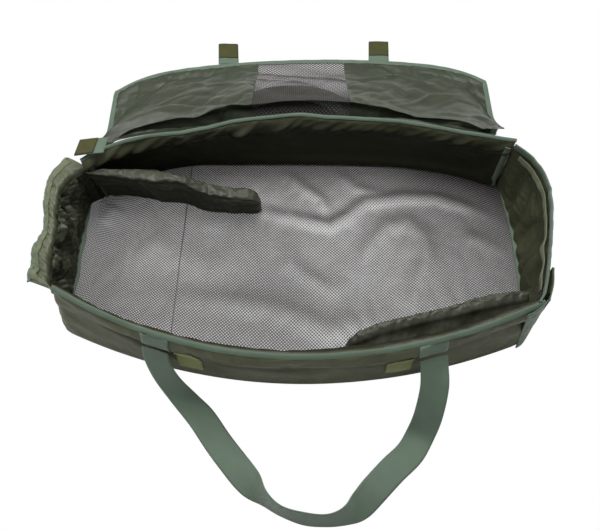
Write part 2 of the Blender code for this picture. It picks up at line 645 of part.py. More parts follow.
def build_corner_tabs(looks):
    """The open tab at the back left corner and the closed one round the front right corner."""
    def open_strap(u, v):
        y = lerp(OPEN_TAB_FRONT, OPEN_TAB_BACK, v) - OPEN_TAB_SKEW * u
        z = OPEN_TAB_HEIGHT - OPEN_TAB_SLOPE * (y - OPEN_TAB_HINGE[1])
        return lerp(OPEN_TAB_START, OPEN_TAB_END, u), y, z
    strap = sheet("back_left_tab_strap", looks["webbing"], 2, 1, open_strap, WEBBING_THICKNESS)
    place(strap, OPEN_TAB_HINGE)

    def open_hook(u, v):
        x, y, z = open_strap(lerp(CORNER_HOOK_FROM, 0.97, u), lerp(0.02, 0.98, v))
        return x, y, z + 0.0026
    place(sheet("back_left_tab_hook", looks["hook"], 2, 1, open_hook, HOOK_THICKNESS), OPEN_TAB_HINGE)

    start, finish = CLOSED_TAB_START, CLOSED_TAB_END

    def closed_strap(u, v):
        x, y = lerp(start[0], finish[0], u), lerp(start[1], finish[1], u)
        return x, y, lerp(CLOSED_TAB_LOW, CLOSED_TAB_HIGH, v)

    def closed_hook(u, v):
        x, y, z = closed_strap(lerp(CORNER_HOOK_FROM, 1.0, u), lerp(0.02, 0.98, v))
        return x - 0.0024, y + 0.0011, z
    hinge = (start[0], start[1] - HINGE_GAP, (CLOSED_TAB_LOW + CLOSED_TAB_HIGH) / 2)
    place(sheet("front_right_tab_strap", looks["webbing"], 2, 1, closed_strap, WEBBING_THICKNESS), hinge)
    place(sheet("front_right_tab_hook", looks["hook"], 2, 1, closed_hook, HOOK_THICKNESS), hinge)


def build_corner_seams(looks):
    """Bound seams where the long walls meet the right end wall and the left end wall at the back."""
    for end, middle in (("right", BACK_RIGHT_SEAM_X), ("left", BACK_LEFT_SEAM_X)):
        def seam(u, v):
            height = lerp(SEAM_LOW, SEAM_HIGH, v)
            x = middle + lerp(-SEAM_HALF, SEAM_HALF, u)
            return x, wall_middle(x, height, False) - WALL_THICKNESS / 2 - SEAM_OFF, height
        sheet(f"back_{end}_seam_binding", looks["webbing"], 1, 4, seam, WEBBING_THICKNESS)


def main():
    for old in list(bpy.data.objects):
        bpy.data.objects.remove(old, do_unlink=True)
    bpy.context.scene.collection.children.link(bpy.data.collections.new(COLLECTION))
    looks = finishes()
    build_floor(looks)
    build_long_wall("front", True, looks)
    build_long_wall("back", False, looks)
    build_left_end(looks)
    build_right_end(looks)
    build_fin("left", LEFT_FIN_HINGE, LEFT_FIN_ANGLE, LEFT_FIN_TIP_HEIGHT, LEFT_FIN_LEAN, 0.0, looks)
    build_fin("right", RIGHT_FIN_HINGE, RIGHT_FIN_ANGLE, RIGHT_FIN_TIP_HEIGHT, RIGHT_FIN_LEAN, RIGHT_FIN_BOW, looks)
    build_lid(looks)
    build_wall_tapes(looks)
    build_handle("front_handle", FRONT_ROUTE, FRONT_HANDLE_HINGE_Y, True, looks)
    build_handle("back_handle", BACK_ROUTE, BACK_HANDLE_HINGE_Y, False, looks)
    build_corner_tabs(looks)
    build_corner_seams(looks)


main()
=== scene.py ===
"""Soft carp cradle laid open: mesh floor, padded nylon walls, end fins, a lid thrown back over the back wall
and two webbing carry handles. Metres; X runs along the cradle, Y from front wall to back wall, Z up."""
import math

import bpy
import numpy as np
from mathutils import Matrix, Vector, noise
from mathutils.bvhtree import BVHTree


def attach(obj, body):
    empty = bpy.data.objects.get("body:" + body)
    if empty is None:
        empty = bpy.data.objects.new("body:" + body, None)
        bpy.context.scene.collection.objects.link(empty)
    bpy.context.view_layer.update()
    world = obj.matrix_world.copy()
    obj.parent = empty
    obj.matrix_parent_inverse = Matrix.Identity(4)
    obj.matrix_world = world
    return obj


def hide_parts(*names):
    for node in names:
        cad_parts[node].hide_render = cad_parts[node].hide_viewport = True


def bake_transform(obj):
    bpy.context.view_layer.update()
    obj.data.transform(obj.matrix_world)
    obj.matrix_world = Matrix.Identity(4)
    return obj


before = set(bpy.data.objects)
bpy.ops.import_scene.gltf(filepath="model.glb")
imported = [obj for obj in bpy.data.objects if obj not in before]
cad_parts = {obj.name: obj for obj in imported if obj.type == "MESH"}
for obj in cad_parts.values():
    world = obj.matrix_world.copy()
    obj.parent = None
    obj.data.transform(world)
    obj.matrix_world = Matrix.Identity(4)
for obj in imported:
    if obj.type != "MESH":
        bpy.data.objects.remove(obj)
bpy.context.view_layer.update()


# Ground, light and camera: a plain white studio sweep under soft light from above and a little behind, seen
# from a little left of the middle of the front, 61 degrees above the horizon.
def fill(tree, node, sockets):
    """Give each named socket of a node its value, or link it to the socket that gives one."""
    for name, value in sockets.items():
        if isinstance(value, bpy.types.NodeSocket):
            tree.links.new(value, node.inputs[name])
        else:
            node.inputs[name].default_value = value


def add_node(tree, kind, sockets=None, **settings):
    made = tree.nodes.new(kind)
    for name, value in settings.items():
        setattr(made, name, value)
    fill(tree, made, sockets or {})
    return made


def combine(tree, a, b, how="ADD", **settings):
    return add_node(tree, "ShaderNodeMath", {0: a, 1: b}, operation=how, **settings).outputs[0]


def near_of(tree, value, middle, reach):
    """1 where a value lies within reach of middle, and 0 elsewhere."""
    return add_node(tree, "ShaderNodeMath", {0: value, 1: middle, 2: reach}, operation="COMPARE").outputs[0]


def range_of(tree, value, low, high, start=0.0, end=1.0):
    return add_node(tree, "ShaderNodeMapRange", {0: value, 1: start, 2: end, 3: low, 4: high}).outputs[0]


def mix_of(tree, share, *colours):
    """One colour at share 0, the other at share 1."""
    a, b = (c if isinstance(c, bpy.types.NodeSocket) else (*c, 1.0) for c in colours)
    return add_node(tree, "ShaderNodeMix", {"Factor": share, 6: a, 7: b}, data_type="RGBA").outputs[2]


GROUND_THROUGH_MESH = 0.44


def build_ground():
    """White paper that glows white to the camera. Seen through the mesh its glow is fainter, with painted
    shade towards the back and right under the floor and painted light under the lid's far edge; its colour
    holds a near-black painted shadow under the lid.
    """
    for old in bpy.context.selected_objects:
        old.select_set(False)
    bpy.ops.mesh.primitive_plane_add(size=14.0, location=(0.0, 0.0, -0.0012))
    ground = bpy.context.object
    ground.name = "ground"
    paper = bpy.data.materials.new("white_paper")
    paper.use_nodes = True
    tree = paper.node_tree
    tree.nodes.remove(tree.nodes["Principled BSDF"])
    lit = add_node(tree, "ShaderNodeEmission", {"Color": (1.0, 1.0, 1.0, 1.0), "Strength": 1.0})
    path = add_node(tree, "ShaderNodeLightPath")
    camera_ray = path.outputs["Is Camera Ray"]
    nothing_crossed = combine(tree, path.outputs["Transparent Depth"], 0.5, "LESS_THAN")
    straight = combine(tree, camera_ray, nothing_crossed, "MULTIPLY")
    through = combine(tree, camera_ray, straight, "SUBTRACT")
    place = add_node(tree, "ShaderNodeTexCoord").outputs["Object"]
    parts = add_node(tree, "ShaderNodeSeparateXYZ", {0: place})
    side, back = parts.outputs[0], parts.outputs[1]
    # Painted shade in the glow seen through the floor mesh: fainter towards the back and to the right.
    # Painted light: a stronger glow seen through the lid near its far edge.
    dim_right = range_of(tree, side, 0.0, 0.45, 0.10, 0.40)
    towards_back = range_of(tree, back, 1.0, 0.30, 0.02, 0.22)
    in_cradle = combine(tree, back, 0.24, "LESS_THAN")
    under_floor = combine(tree, towards_back, dim_right, "SUBTRACT", use_clamp=True)
    under_floor = combine(tree, under_floor, in_cradle, "MULTIPLY")
    under_lid_edge = range_of(tree, back, 0.0, 1.7, 0.44, 0.475)
    faint = combine(tree, through, combine(tree, under_floor, under_lid_edge), "MULTIPLY")
    seen = add_node(tree, "ShaderNodeMath", {0: faint, 1: GROUND_THROUGH_MESH, 2: straight},
                    operation="MULTIPLY_ADD").outputs[0]
    # Painted shadow: the paper is near black in a band under the lid.
    painted_lid_shadow = near_of(tree, back, 0.345, 0.095)
    paper_colour = mix_of(tree, painted_lid_shadow, (0.86, 0.86, 0.86), (0.02, 0.02, 0.02))
    matt = add_node(tree, "ShaderNodeBsdfDiffuse", {"Color": paper_colour})
    both = add_node(tree, "ShaderNodeMixShader", {0: seen, 1: matt.outputs[0], 2: lit.outputs[0]})
    tree.links.new(both.outputs[0], tree.nodes["Material Output"].inputs["Surface"])
    ground.data.materials.append(paper)


WORLD_STRENGTH = 0.20
LAMPS = (("roof_light", (0.1, 0.9, 2.3), (0.0, 0.1, 0.0), 2.2, 58.0),
         ("left_light", (-2.0, 0.3, 1.6), (0.0, 0.0, 0.0), 1.2, 17.0),
         ("front_light", (0.6, -2.4, 1.3), (0.0, -0.3, 0.0), 1.6, 4.4))


def build_light():
    world = bpy.data.worlds.new("studio")
    world.use_nodes = True
    tree = world.node_tree
    path = add_node(tree, "ShaderNodeLightPath")
    strength = range_of(tree, path.outputs["Is Camera Ray"], WORLD_STRENGTH, 1.0)
    fill(tree, tree.nodes["Background"], {"Color": (1.0, 1.0, 1.0, 1.0), "Strength": strength})
    bpy.context.scene.world = world
    for name, place, aim, size, watts in LAMPS:
        lamp = bpy.data.lights.new(name, "AREA")
        lamp.shape = "DISK"
        lamp.size = size
        lamp.energy = watts
        holder = bpy.data.objects.new(name, lamp)
        bpy.context.scene.collection.objects.link(holder)
        holder.location = place
        holder.rotation_euler = (Vector(aim) - Vector(place)).to_track_quat("-Z", "Y").to_euler()


def build_camera():
    pitch, yaw, roll = 1.0716, -0.04957, -0.03034
    focal_pixels, picture_width, picture_height, middle_row = 648.41, 600, 530, 263.20
    ahead = Vector((math.sin(yaw) * math.cos(pitch), math.cos(yaw) * math.cos(pitch), -math.sin(pitch)))
    level = Vector((math.cos(yaw), -math.sin(yaw), 0.0))
    above = level.cross(ahead)
    right = level * math.cos(roll) + above * math.sin(roll)
    up = above * math.cos(roll) - level * math.sin(roll)
    lens = bpy.data.cameras.new("camera")
    lens.sensor_width = 36.0
    lens.lens = focal_pixels * lens.sensor_width / picture_width
    lens.shift_y = (middle_row - picture_height / 2) / picture_width
    lens.clip_start = 0.05
    camera = bpy.data.objects.new("camera", lens)
    bpy.context.scene.collection.objects.link(camera)
    turn = Matrix((right, up, -ahead)).transposed().to_4x4()
    turn.translation = Vector((0.03584, -0.65208, 1.17944))
    camera.matrix_world = turn
    bpy.context.scene.camera = camera


build_ground()
build_light()
build_camera()
bpy.context.scene.view_settings.view_transform = "Standard"


# Floor: a sheet of open knitted mesh, 0.9 m long, sewn in between the walls and slack, so that it lies on
# the ground in soft folds. Its threads are dull brown polyester and its round holes sit in diagonal rows,
# 4.7 mm apart.
HALF_LENGTH, HALF_WIDTH = 0.436, 0.265
WALL_THICK, RIM = 0.022, 0.152


def within(value, low=0.0, high=1.0):
    return max(low, min(high, value))


def plan_line(x, middle, left, right, power=2):
    """How far a wall stands from the middle of the cradle at x: middle at x = 0, less towards its corners."""
    corner = left if x < 0 else right
    return middle - (middle - corner) * abs(x / HALF_LENGTH) ** power


FRONT_FLARE, BACK_FLARE = 1.05, 1.01


def left_flare(height, front):
    """A long wall's left half is longer at its foot than at its rim."""
    flare = FRONT_FLARE if front else BACK_FLARE
    return flare + (1.0 - flare) * height / RIM


def wall_middle(x, height, front):
    """Y of the middle of a long wall's thickness at a height."""
    if x < 0:
        x /= left_flare(height, front)
    x = within(x, -HALF_LENGTH, HALF_LENGTH)
    if front:
        foot = -plan_line(x, 0.272, 0.171, 0.182) + WALL_THICK / 2
        rim = -plan_line(x, HALF_WIDTH, 0.141, 0.158)
    else:
        foot = plan_line(x, HALF_WIDTH, 0.155, 0.204, 4) - WALL_THICK / 2
        rim = plan_line(x, HALF_WIDTH, 0.133, 0.192)
    return foot + (rim - foot) * height / RIM


def grid_object(name, points, finish, closed=False):
    """A mesh through points[row][column], with a UV map of metres along its rows and columns."""
    points = np.asarray(points, float)
    rows, columns = points.shape[:2]
    faces = []
    for r in range(rows - 1):
        for c in range(columns if closed else columns - 1):
            n = (c + 1) % columns
            faces.append((r * columns + c, r * columns + n, (r + 1) * columns + n, (r + 1) * columns + c))
    mesh = bpy.data.meshes.new(name)
    mesh.from_pydata(points.reshape(-1, 3).tolist(), [], faces)
    across = np.linalg.norm(np.diff(points[rows // 2], axis=0), axis=1)
    along = np.linalg.norm(np.diff(points[:, columns // 2], axis=0), axis=1)
    u = np.concatenate(([0.0], np.cumsum(across), [across.sum() + across.mean()]))
    v = np.concatenate(([0.0], np.cumsum(along)))
    uv = mesh.uv_layers.new(name="metres")
    places = []
    for r in range(rows - 1):
        for c in range(columns if closed else columns - 1):
            places += [(u[c], v[r]), (u[c + 1], v[r]), (u[c + 1], v[r + 1]), (u[c], v[r + 1])]
    uv.data.foreach_set("uv", np.array(places, np.float32).ravel())
    mesh.materials.append(finish)
    mesh.shade_smooth()
    made = bpy.data.objects.new(name, mesh)
    bpy.context.scene.collection.objects.link(made)
    return made


def thicken(piece, thickness):
    solid = piece.modifiers.new("thickness", "SOLIDIFY")
    solid.thickness = thickness
    solid.offset = 0.0


def sheet_of(name, columns, rows, shape, finish, thickness=0.0):
    """A cloth whose point at (u, v), both from 0 to 1, is shape(u, v)."""
    points = [[shape(c / columns, r / rows) for c in range(columns + 1)] for r in range(rows + 1)]
    made = grid_object(name, points, finish)
    if thickness:
        thicken(made, thickness)
    return made


def map_of(mesh):
    """Where each corner of a mesh's faces lies on its map of metres."""
    uv = np.zeros(len(mesh.loops) * 2, np.float32)
    mesh.uv_layers["metres"].data.foreach_get("uv", uv)
    return uv.reshape(-1, 2)


def cloth_facts(piece):
    """Width, length and area of a cloth as cut: its own surface."""
    width, length = map_of(piece.data).max(axis=0)
    return float(width), float(length), sum(face.area for face in piece.data.polygons)


def wave_of(tree, along, pitch):
    """Sine of a length in metres with the given pitch."""
    turned = combine(tree, along, 2 * math.pi / pitch, "MULTIPLY")
    return add_node(tree, "ShaderNodeMath", {0: turned}, operation="SINE").outputs[0]


def spots_of(tree, coordinates, scale, detail=3.0):
    sockets = {"Vector": coordinates, "Scale": scale, "Detail": detail}
    return add_node(tree, "ShaderNodeTexNoise", sockets).outputs["Fac"]


def new_finish(name):
    """A material, with its tree and its shader."""
    finish = bpy.data.materials.new(name)
    finish.use_nodes = True
    return finish, finish.node_tree, finish.node_tree.nodes["Principled BSDF"]


def bump_of(tree, strength, distance, height, **settings):
    sockets = {"Strength": strength, "Distance": distance, "Height": height}
    return add_node(tree, "ShaderNodeBump", sockets, **settings).outputs[0]


MESH_SEAM_X = -0.245


def knitted_mesh(name, thread, open_share, spacing):
    """Knitted mesh: staggered round holes, with a raised thread round each and a shade that varies softly."""
    finish, tree, shader = new_finish(name)
    coordinates = add_node(tree, "ShaderNodeTexCoord")
    place = coordinates.outputs["Object"]
    parts = add_node(tree, "ShaderNodeSeparateXYZ", {0: coordinates.outputs["UV"]})
    plus = combine(tree, parts.outputs[0], parts.outputs[1])
    minus = combine(tree, parts.outputs[0], parts.outputs[1], "SUBTRACT")
    pitch = spacing * math.sqrt(2.0)
    lattice = combine(tree, wave_of(tree, plus, pitch), wave_of(tree, minus, pitch))
    # A piece's values close the holes: painted shade on the floor's folds and in the lid's valley.
    closing_and_painted_shade = add_node(tree, "ShaderNodeAttribute", attribute_name="closing_and_painted_shade").outputs["Fac"]
    across = add_node(tree, "ShaderNodeSeparateXYZ", {0: place}).outputs[0]
    seam = near_of(tree, across, MESH_SEAM_X, 0.0011)
    tighter = combine(tree, closing_and_painted_shade, combine(tree, seam, 3.0, "MULTIPLY"))
    narrowed = combine(tree, lattice, tighter, "SUBTRACT")
    solid = range_of(tree, narrowed, 1.0, 0.06, open_share - 0.30, open_share + 0.30)
    cloudy = range_of(tree, spots_of(tree, place, 7.0), 0.75, 1.25)
    fibre = range_of(tree, spots_of(tree, place, 900.0), 0.7, 1.3)
    shade = range_of(tree, combine(tree, cloudy, fibre, "MULTIPLY"), 0.0, 1.0, 0.5, 1.5)
    colour = mix_of(tree, shade, [c * 0.7 for c in thread], [c * 1.3 for c in thread])
    raised = bump_of(tree, 0.4, 0.0002, lattice, invert=True)
    fill(tree, shader, {"Base Color": colour, "Alpha": solid, "Roughness": 0.55, "Normal": raised})
    return finish


def points_of(piece):
    found = np.zeros(len(piece.data.vertices) * 3)
    piece.data.vertices.foreach_get("co", found)
    return found.reshape(-1, 3)


def set_points(piece, points):
    piece.data.vertices.foreach_set("co", np.asarray(points, np.float32).ravel())
    piece.data.update()


def give_values(piece, name, values):
    """Keep one number for each point of a piece, which its material reads."""
    kept = piece.data.attributes.new(name, "FLOAT", "POINT")
    kept.data.foreach_set("value", np.asarray(values, np.float32))


def uneven(a, b, c):
    """Smooth noise, from about -1 to 1 and the same at each run."""
    return noise.noise(Vector((a, b, c)))


def dress(piece, body, slot, *nodes):
    """Hide the nodes that a finished piece stands for and attach it to what carries it. slot is not used."""
    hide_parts(*nodes)
    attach(piece, body)


FLOOR_FOLDS = (
    (0.0085, 0.011, ((-0.096, 0.118), (-0.027, 0.103), (0.066, 0.080), (0.102, 0.105), (0.142, 0.142),
                     (0.225, 0.156), (0.294, 0.154), (0.372, 0.129), (0.430, 0.097))),
    (0.0060, 0.015, ((0.236, -0.150), (0.239, -0.063), (0.266, 0.002), (0.264, 0.055), (0.230, 0.092),
                     (0.187, 0.081), (0.154, 0.043), (0.138, 0.0), (0.130, -0.094))),
    (0.0050, 0.014, ((-0.020, 0.041), (-0.015, -0.012), (0.011, -0.037), (0.066, -0.070), (0.097, -0.038))),
    (0.0060, 0.013, ((0.340, 0.062), (0.382, 0.050), (0.432, 0.021))),
    (0.0060, 0.010, ((-0.039, 0.225), (0.000, 0.185), (0.048, 0.146), (0.055, 0.115))),
    (0.0050, 0.010, ((0.077, 0.227), (0.121, 0.178), (0.175, 0.166))),
    (0.0065, 0.018, ((-0.250, -0.090), (-0.096, -0.105), (-0.013, -0.125), (0.066, -0.160), (0.165, -0.125))),
    (0.0060, 0.018, ((-0.405, 0.130), (-0.430, 0.080))),
    (0.0050, 0.030, ((-0.400, -0.030), (-0.300, 0.020), (-0.180, -0.020), (-0.090, 0.030))),
)


def fold_height(x, y, folds):
    """How high soft folds lift a cloth at a point of its plan."""
    height = 0.0
    for tall, wide, path in folds:
        nearest, end = 9.0, 0.0
        for i in range(len(path) - 1):
            (x0, y0), (x1, y1) = path[i], path[i + 1]
            dx, dy = x1 - x0, y1 - y0
            t = within(((x - x0) * dx + (y - y0) * dy) / (dx * dx + dy * dy))
            far = math.hypot(x - x0 - t * dx, y - y0 - t * dy)
            if far < nearest:
                nearest, end = far, (i + t) / (len(path) - 1)
        ends = min(1.0, 3.5 * end + 0.25, 3.5 * (1.0 - end) + 0.25)
        height += 0.80 * tall * ends * math.exp(-(nearest / (1.35 * wide)) ** 2)
    return height


def floor_place(u, v):
    """A point of the floor: u from its left end to its right, v from the front wall to the back."""
    left, right = -0.464 + 0.008 * (1.0 - v), 0.442 + 0.014 * math.sin(math.pi * v)
    x = left * (1.0 - u) + right * u
    near = within(x, -HALF_LENGTH, HALF_LENGTH)
    flared = near / FRONT_FLARE if near < 0.0 else near
    under_front, under_back, corner_tuck = 0.009, 0.012, 0.014 * max(0.0, 1.0 - u / 0.04)
    front = -plan_line(flared, 0.272, 0.171, 0.182) + WALL_THICK - under_front + corner_tuck
    back = plan_line(near, HALF_WIDTH, 0.155, 0.204, 4) - WALL_THICK + under_back
    y = front + (back - front) * v
    edge = min(1.0, 9.0 * min(u, 1.0 - u), 6.0 * min(v, 1.0 - v))
    soft = 0.0030 * (0.5 + 0.5 * uneven(x * 9.0, y * 11.0, 3.0))
    soft += 0.0016 * abs(uneven(x * 26.0 + 4.0, y * 17.0, 8.0))
    return Vector((x, y, 0.0014 + edge * (fold_height(x, y, FLOOR_FOLDS) + soft)))


def build_floor():
    brown = knitted_mesh("brown_mesh_fine", (0.062, 0.056, 0.055), 0.12, 0.0047)
    columns, rows = 200, 112
    floor = sheet_of("floor_cloth", columns, rows, floor_place, brown, 0.0006)
    points = points_of(floor).reshape(rows + 1, columns + 1, 3)
    # Painted shade of the folds, over patchy noise. Holes close on fold faces turned towards the front, away
    # from the lamp behind, and on faces tilted sideways. They open on faces turned to the back.
    rise = np.gradient(points[:, :, 2], axis=0) / np.gradient(points[:, :, 1], axis=0)
    aslant = np.gradient(points[:, :, 2], axis=1) / np.gradient(points[:, :, 0], axis=1)
    slope = np.clip(-2.3 * rise + 0.8 * np.abs(aslant), -0.6, 1.2)
    patchy = np.array([0.45 * uneven(x * 3.2 + 1.0, y * 4.5, 6.0)
                       for x, y, z in points.reshape(-1, 3)])
    give_values(floor, "closing_and_painted_shade", slope.ravel() + patchy)
    dress(floor, "root", "brown_mesh", "floor_mesh")
    width, length, area = cloth_facts(floor)


build_floor()


# Long walls: two flat pads of closed-cell foam in loose covers of coated olive nylon, sewn along the rim
# and the foot. The cloth stands off the foam and puckers along its seams, and painted shade darkens its
# inside.
def coated_nylon(name, colour, roughness=0.42):
    """Coated nylon: a plain weave, soft creases, a dull shine, and painted shade, a darker warm tone where a
    piece's values say so.
    """
    painted_shade, yarn = 0.22, 0.0011
    finish, tree, shader = new_finish(name)
    place = add_node(tree, "ShaderNodeTexCoord").outputs["Object"]
    parts = add_node(tree, "ShaderNodeSeparateXYZ", {0: place})
    cloudy = range_of(tree, spots_of(tree, place, 11.0, 4.0), 0.0, 1.0, 0.3, 0.7)
    base = mix_of(tree, cloudy, [c * 0.84 for c in colour], [c * 1.16 for c in colour])
    # Painted shade: each piece's values darken the cloth towards a warm tone at 0.22 of its colour.
    shade_share = add_node(tree, "ShaderNodeAttribute", attribute_name="painted_shade").outputs["Fac"]
    painted_shade_colour = [c * painted_shade * tint for c, tint in zip(colour, (1.05, 1.0, 0.92))]
    weft = combine(tree, parts.outputs[2], parts.outputs[1])
    weave = combine(tree, wave_of(tree, parts.outputs[0], yarn), wave_of(tree, weft, yarn), "MULTIPLY")
    rumpled = add_node(tree, "ShaderNodeBump", {"Strength": 0.65, "Distance": 0.0020,
                                                "Height": spots_of(tree, place, 46.0, 6.0),
                                                "Normal": bump_of(tree, 0.25, 0.0001, weave)})
    rough = range_of(tree, spots_of(tree, place, 34.0), roughness - 0.07, roughness + 0.09, 0.3, 0.7)
    fill(tree, shader, {"Base Color": mix_of(tree, shade_share, base, painted_shade_colour), "Normal": rumpled.outputs[0],
                        "Roughness": rough, "Specular IOR Level": 0.32})
    return finish


def settle(piece, held, *, frames, grow, most, pressure=0.0, bending=0.02):
    """Let a cloth cut a little too large pucker between its sewn points, none moving further than most."""
    before = points_of(piece)
    sewn = piece.vertex_groups.new(name="sewn")
    sewn.add([int(i) for i in np.flatnonzero(held)], 1.0, "REPLACE")
    solver = piece.modifiers.new("settling", "CLOTH")
    cloth = solver.settings
    cloth.quality = 6
    cloth.mass = 0.12
    cloth.tension_stiffness = cloth.compression_stiffness = 12.0
    cloth.shear_stiffness = 6.0
    cloth.bending_stiffness = bending
    cloth.air_damping = 3.0
    cloth.vertex_group_mass = "sewn"
    cloth.shrink_min = -grow
    cloth.use_pressure = pressure > 0.0
    cloth.uniform_pressure_force = pressure
    cloth.effector_weights.gravity = 0.0
    solver.collision_settings.use_collision = False
    solver.point_cache.frame_end = frames
    for frame_number in range(1, frames + 1):
        bpy.context.scene.frame_set(frame_number)
    settled = piece.evaluated_get(bpy.context.evaluated_depsgraph_get()).data
    after = np.zeros(len(settled.vertices) * 3)
    settled.vertices.foreach_get("co", after)
    piece.modifiers.remove(solver)
    piece.vertex_groups.remove(sewn)
    bpy.context.scene.frame_set(1)
    move = after.reshape(-1, 3) - before
    far = np.linalg.norm(move, axis=1)[:, None] + 1e-9
    set_points(piece, before + move / far * most * np.tanh(far / most))


def pad_section(width, height, count, power=0.30):
    """Evenly spaced points round a rounded box section, from -1 to 1 each way, from the middle of its top."""
    turn = np.linspace(0.0, 2 * math.pi, 1441)
    across = np.copysign(np.abs(np.sin(turn)) ** power, np.sin(turn))
    up = np.copysign(np.abs(np.cos(turn)) ** power, np.cos(turn))
    steps = np.hypot(np.diff(across) * width, np.diff(up) * height)
    length = np.concatenate(([0.0], np.cumsum(steps)))
    wanted = np.linspace(0.0, length[-1], count, endpoint=False)
    return np.interp(wanted, length, across), np.interp(wanted, length, up)


def remake(piece, points, faces, places):
    """Give a piece a new mesh with the name and finish of its old one."""
    old = piece.data
    name = old.name
    made = bpy.data.meshes.new(name)
    made.from_pydata(points.tolist(), [], faces)
    made.uv_layers.new(name="metres").data.foreach_set("uv", np.array(places, np.float32).ravel())
    made.materials.append(old.materials[0])
    made.shade_smooth()
    piece.data = made
    bpy.data.meshes.remove(old)
    made.name = name


def close_ends(piece, rows, columns):
    """Sew the flat ends of a tube shut, and say which of its points are left."""
    mesh = piece.data
    uv = map_of(mesh)
    low = {row * columns + columns - k: row * columns + k
           for row in (0, rows - 1) for k in range(1, columns // 2)}
    faces, places = [], []
    for face in mesh.polygons:
        corners = {}
        for loop in face.loop_indices:
            vertex = mesh.loops[loop].vertex_index
            corners.setdefault(low.get(vertex, vertex), tuple(uv[loop]))
        if len(corners) > 2:
            faces.append(list(corners))
            places += corners.values()
    used = sorted({v for face in faces for v in face})
    number = {old: new for new, old in enumerate(used)}
    remake(piece, points_of(piece)[used], [[number[v] for v in face] for face in faces], places)
    return used


def pad_object(name, stations, ring, place_of, finish, end_taper):
    """A sewn pad: place_of(u, across, up) gives its surface, and its faces meet in a seam at both ends."""
    across, up = ring
    columns = len(across)
    rows = stations + 1
    points = np.zeros((rows, columns, 3))
    for r in range(rows):
        u = r / stations
        near = min(u, 1.0 - u) / end_taper
        full = math.sqrt(max(0.0, 1.0 - max(0.0, 1.0 - near) ** 2))
        for c in range(columns):
            points[r, c] = place_of(u, across[c] * full, up[c])
    piece = grid_object(name, points, finish, closed=True)
    used = close_ends(piece, rows, columns)
    row, column = np.divmod(np.array(used), columns)
    return piece, row / stations, across[column], up[column]


def smooth_over(piece):
    smooth = piece.modifiers.new("smooth", "SUBSURF")
    smooth.levels = smooth.render_levels = 1


def bump_at(value, middle, reach):
    """A smooth bump, 1 at middle and fading over reach."""
    return math.exp(-((value - middle) / reach) ** 2)


def line_at(line, x):
    """The height at x of a line that is given as its places and its heights there."""
    return float(np.interp(x, *line))


FRONT_DIPS = ((-0.436, -0.30, -0.22, 0.0, 0.22, 0.30, 0.436), (0.0, 0.003, 0.0, 0.002, 0.0, 0.002, 0.0))
BACK_DIPS = ((-0.436, -0.402, -0.351, -0.304, -0.248, -0.193, -0.142, -0.059, 0.003, 0.053, 0.132, 0.207,
              0.327, 0.413, 0.436),
             (0.002, -0.006, -0.004, 0.005, 0.021, 0.024, 0.018, 0.016, 0.010, 0.016, 0.015, 0.010,
              0.012, 0.004, 0.0))


def rim_dip(x, front):
    """How far a rim sags between its corners."""
    return line_at(FRONT_DIPS if front else BACK_DIPS, x)


FRONT_SWELL = ((0.0, 0.020, 0.050, 0.080, 0.096, 0.102, 0.110, 0.128, 0.144, 0.150),
               (0.000, 0.0035, 0.0045, 0.0025, -0.0010, -0.0045, 0.0005, 0.0055, 0.0040, 0.0))
FRONT_LIP = ((-0.436, -0.25, 0.0, 0.10, 0.38, 0.436), (0.0, 0.001, 0.004, 0.008, 0.007, 0.0))
FOOT_SWELL = ((-0.436, -0.30, -0.14, 0.07, 0.22, 0.33, 0.40, 0.436),
              (0.0, 0.0, 0.006, 0.005, 0.010, 0.011, 0.012, 0.004))


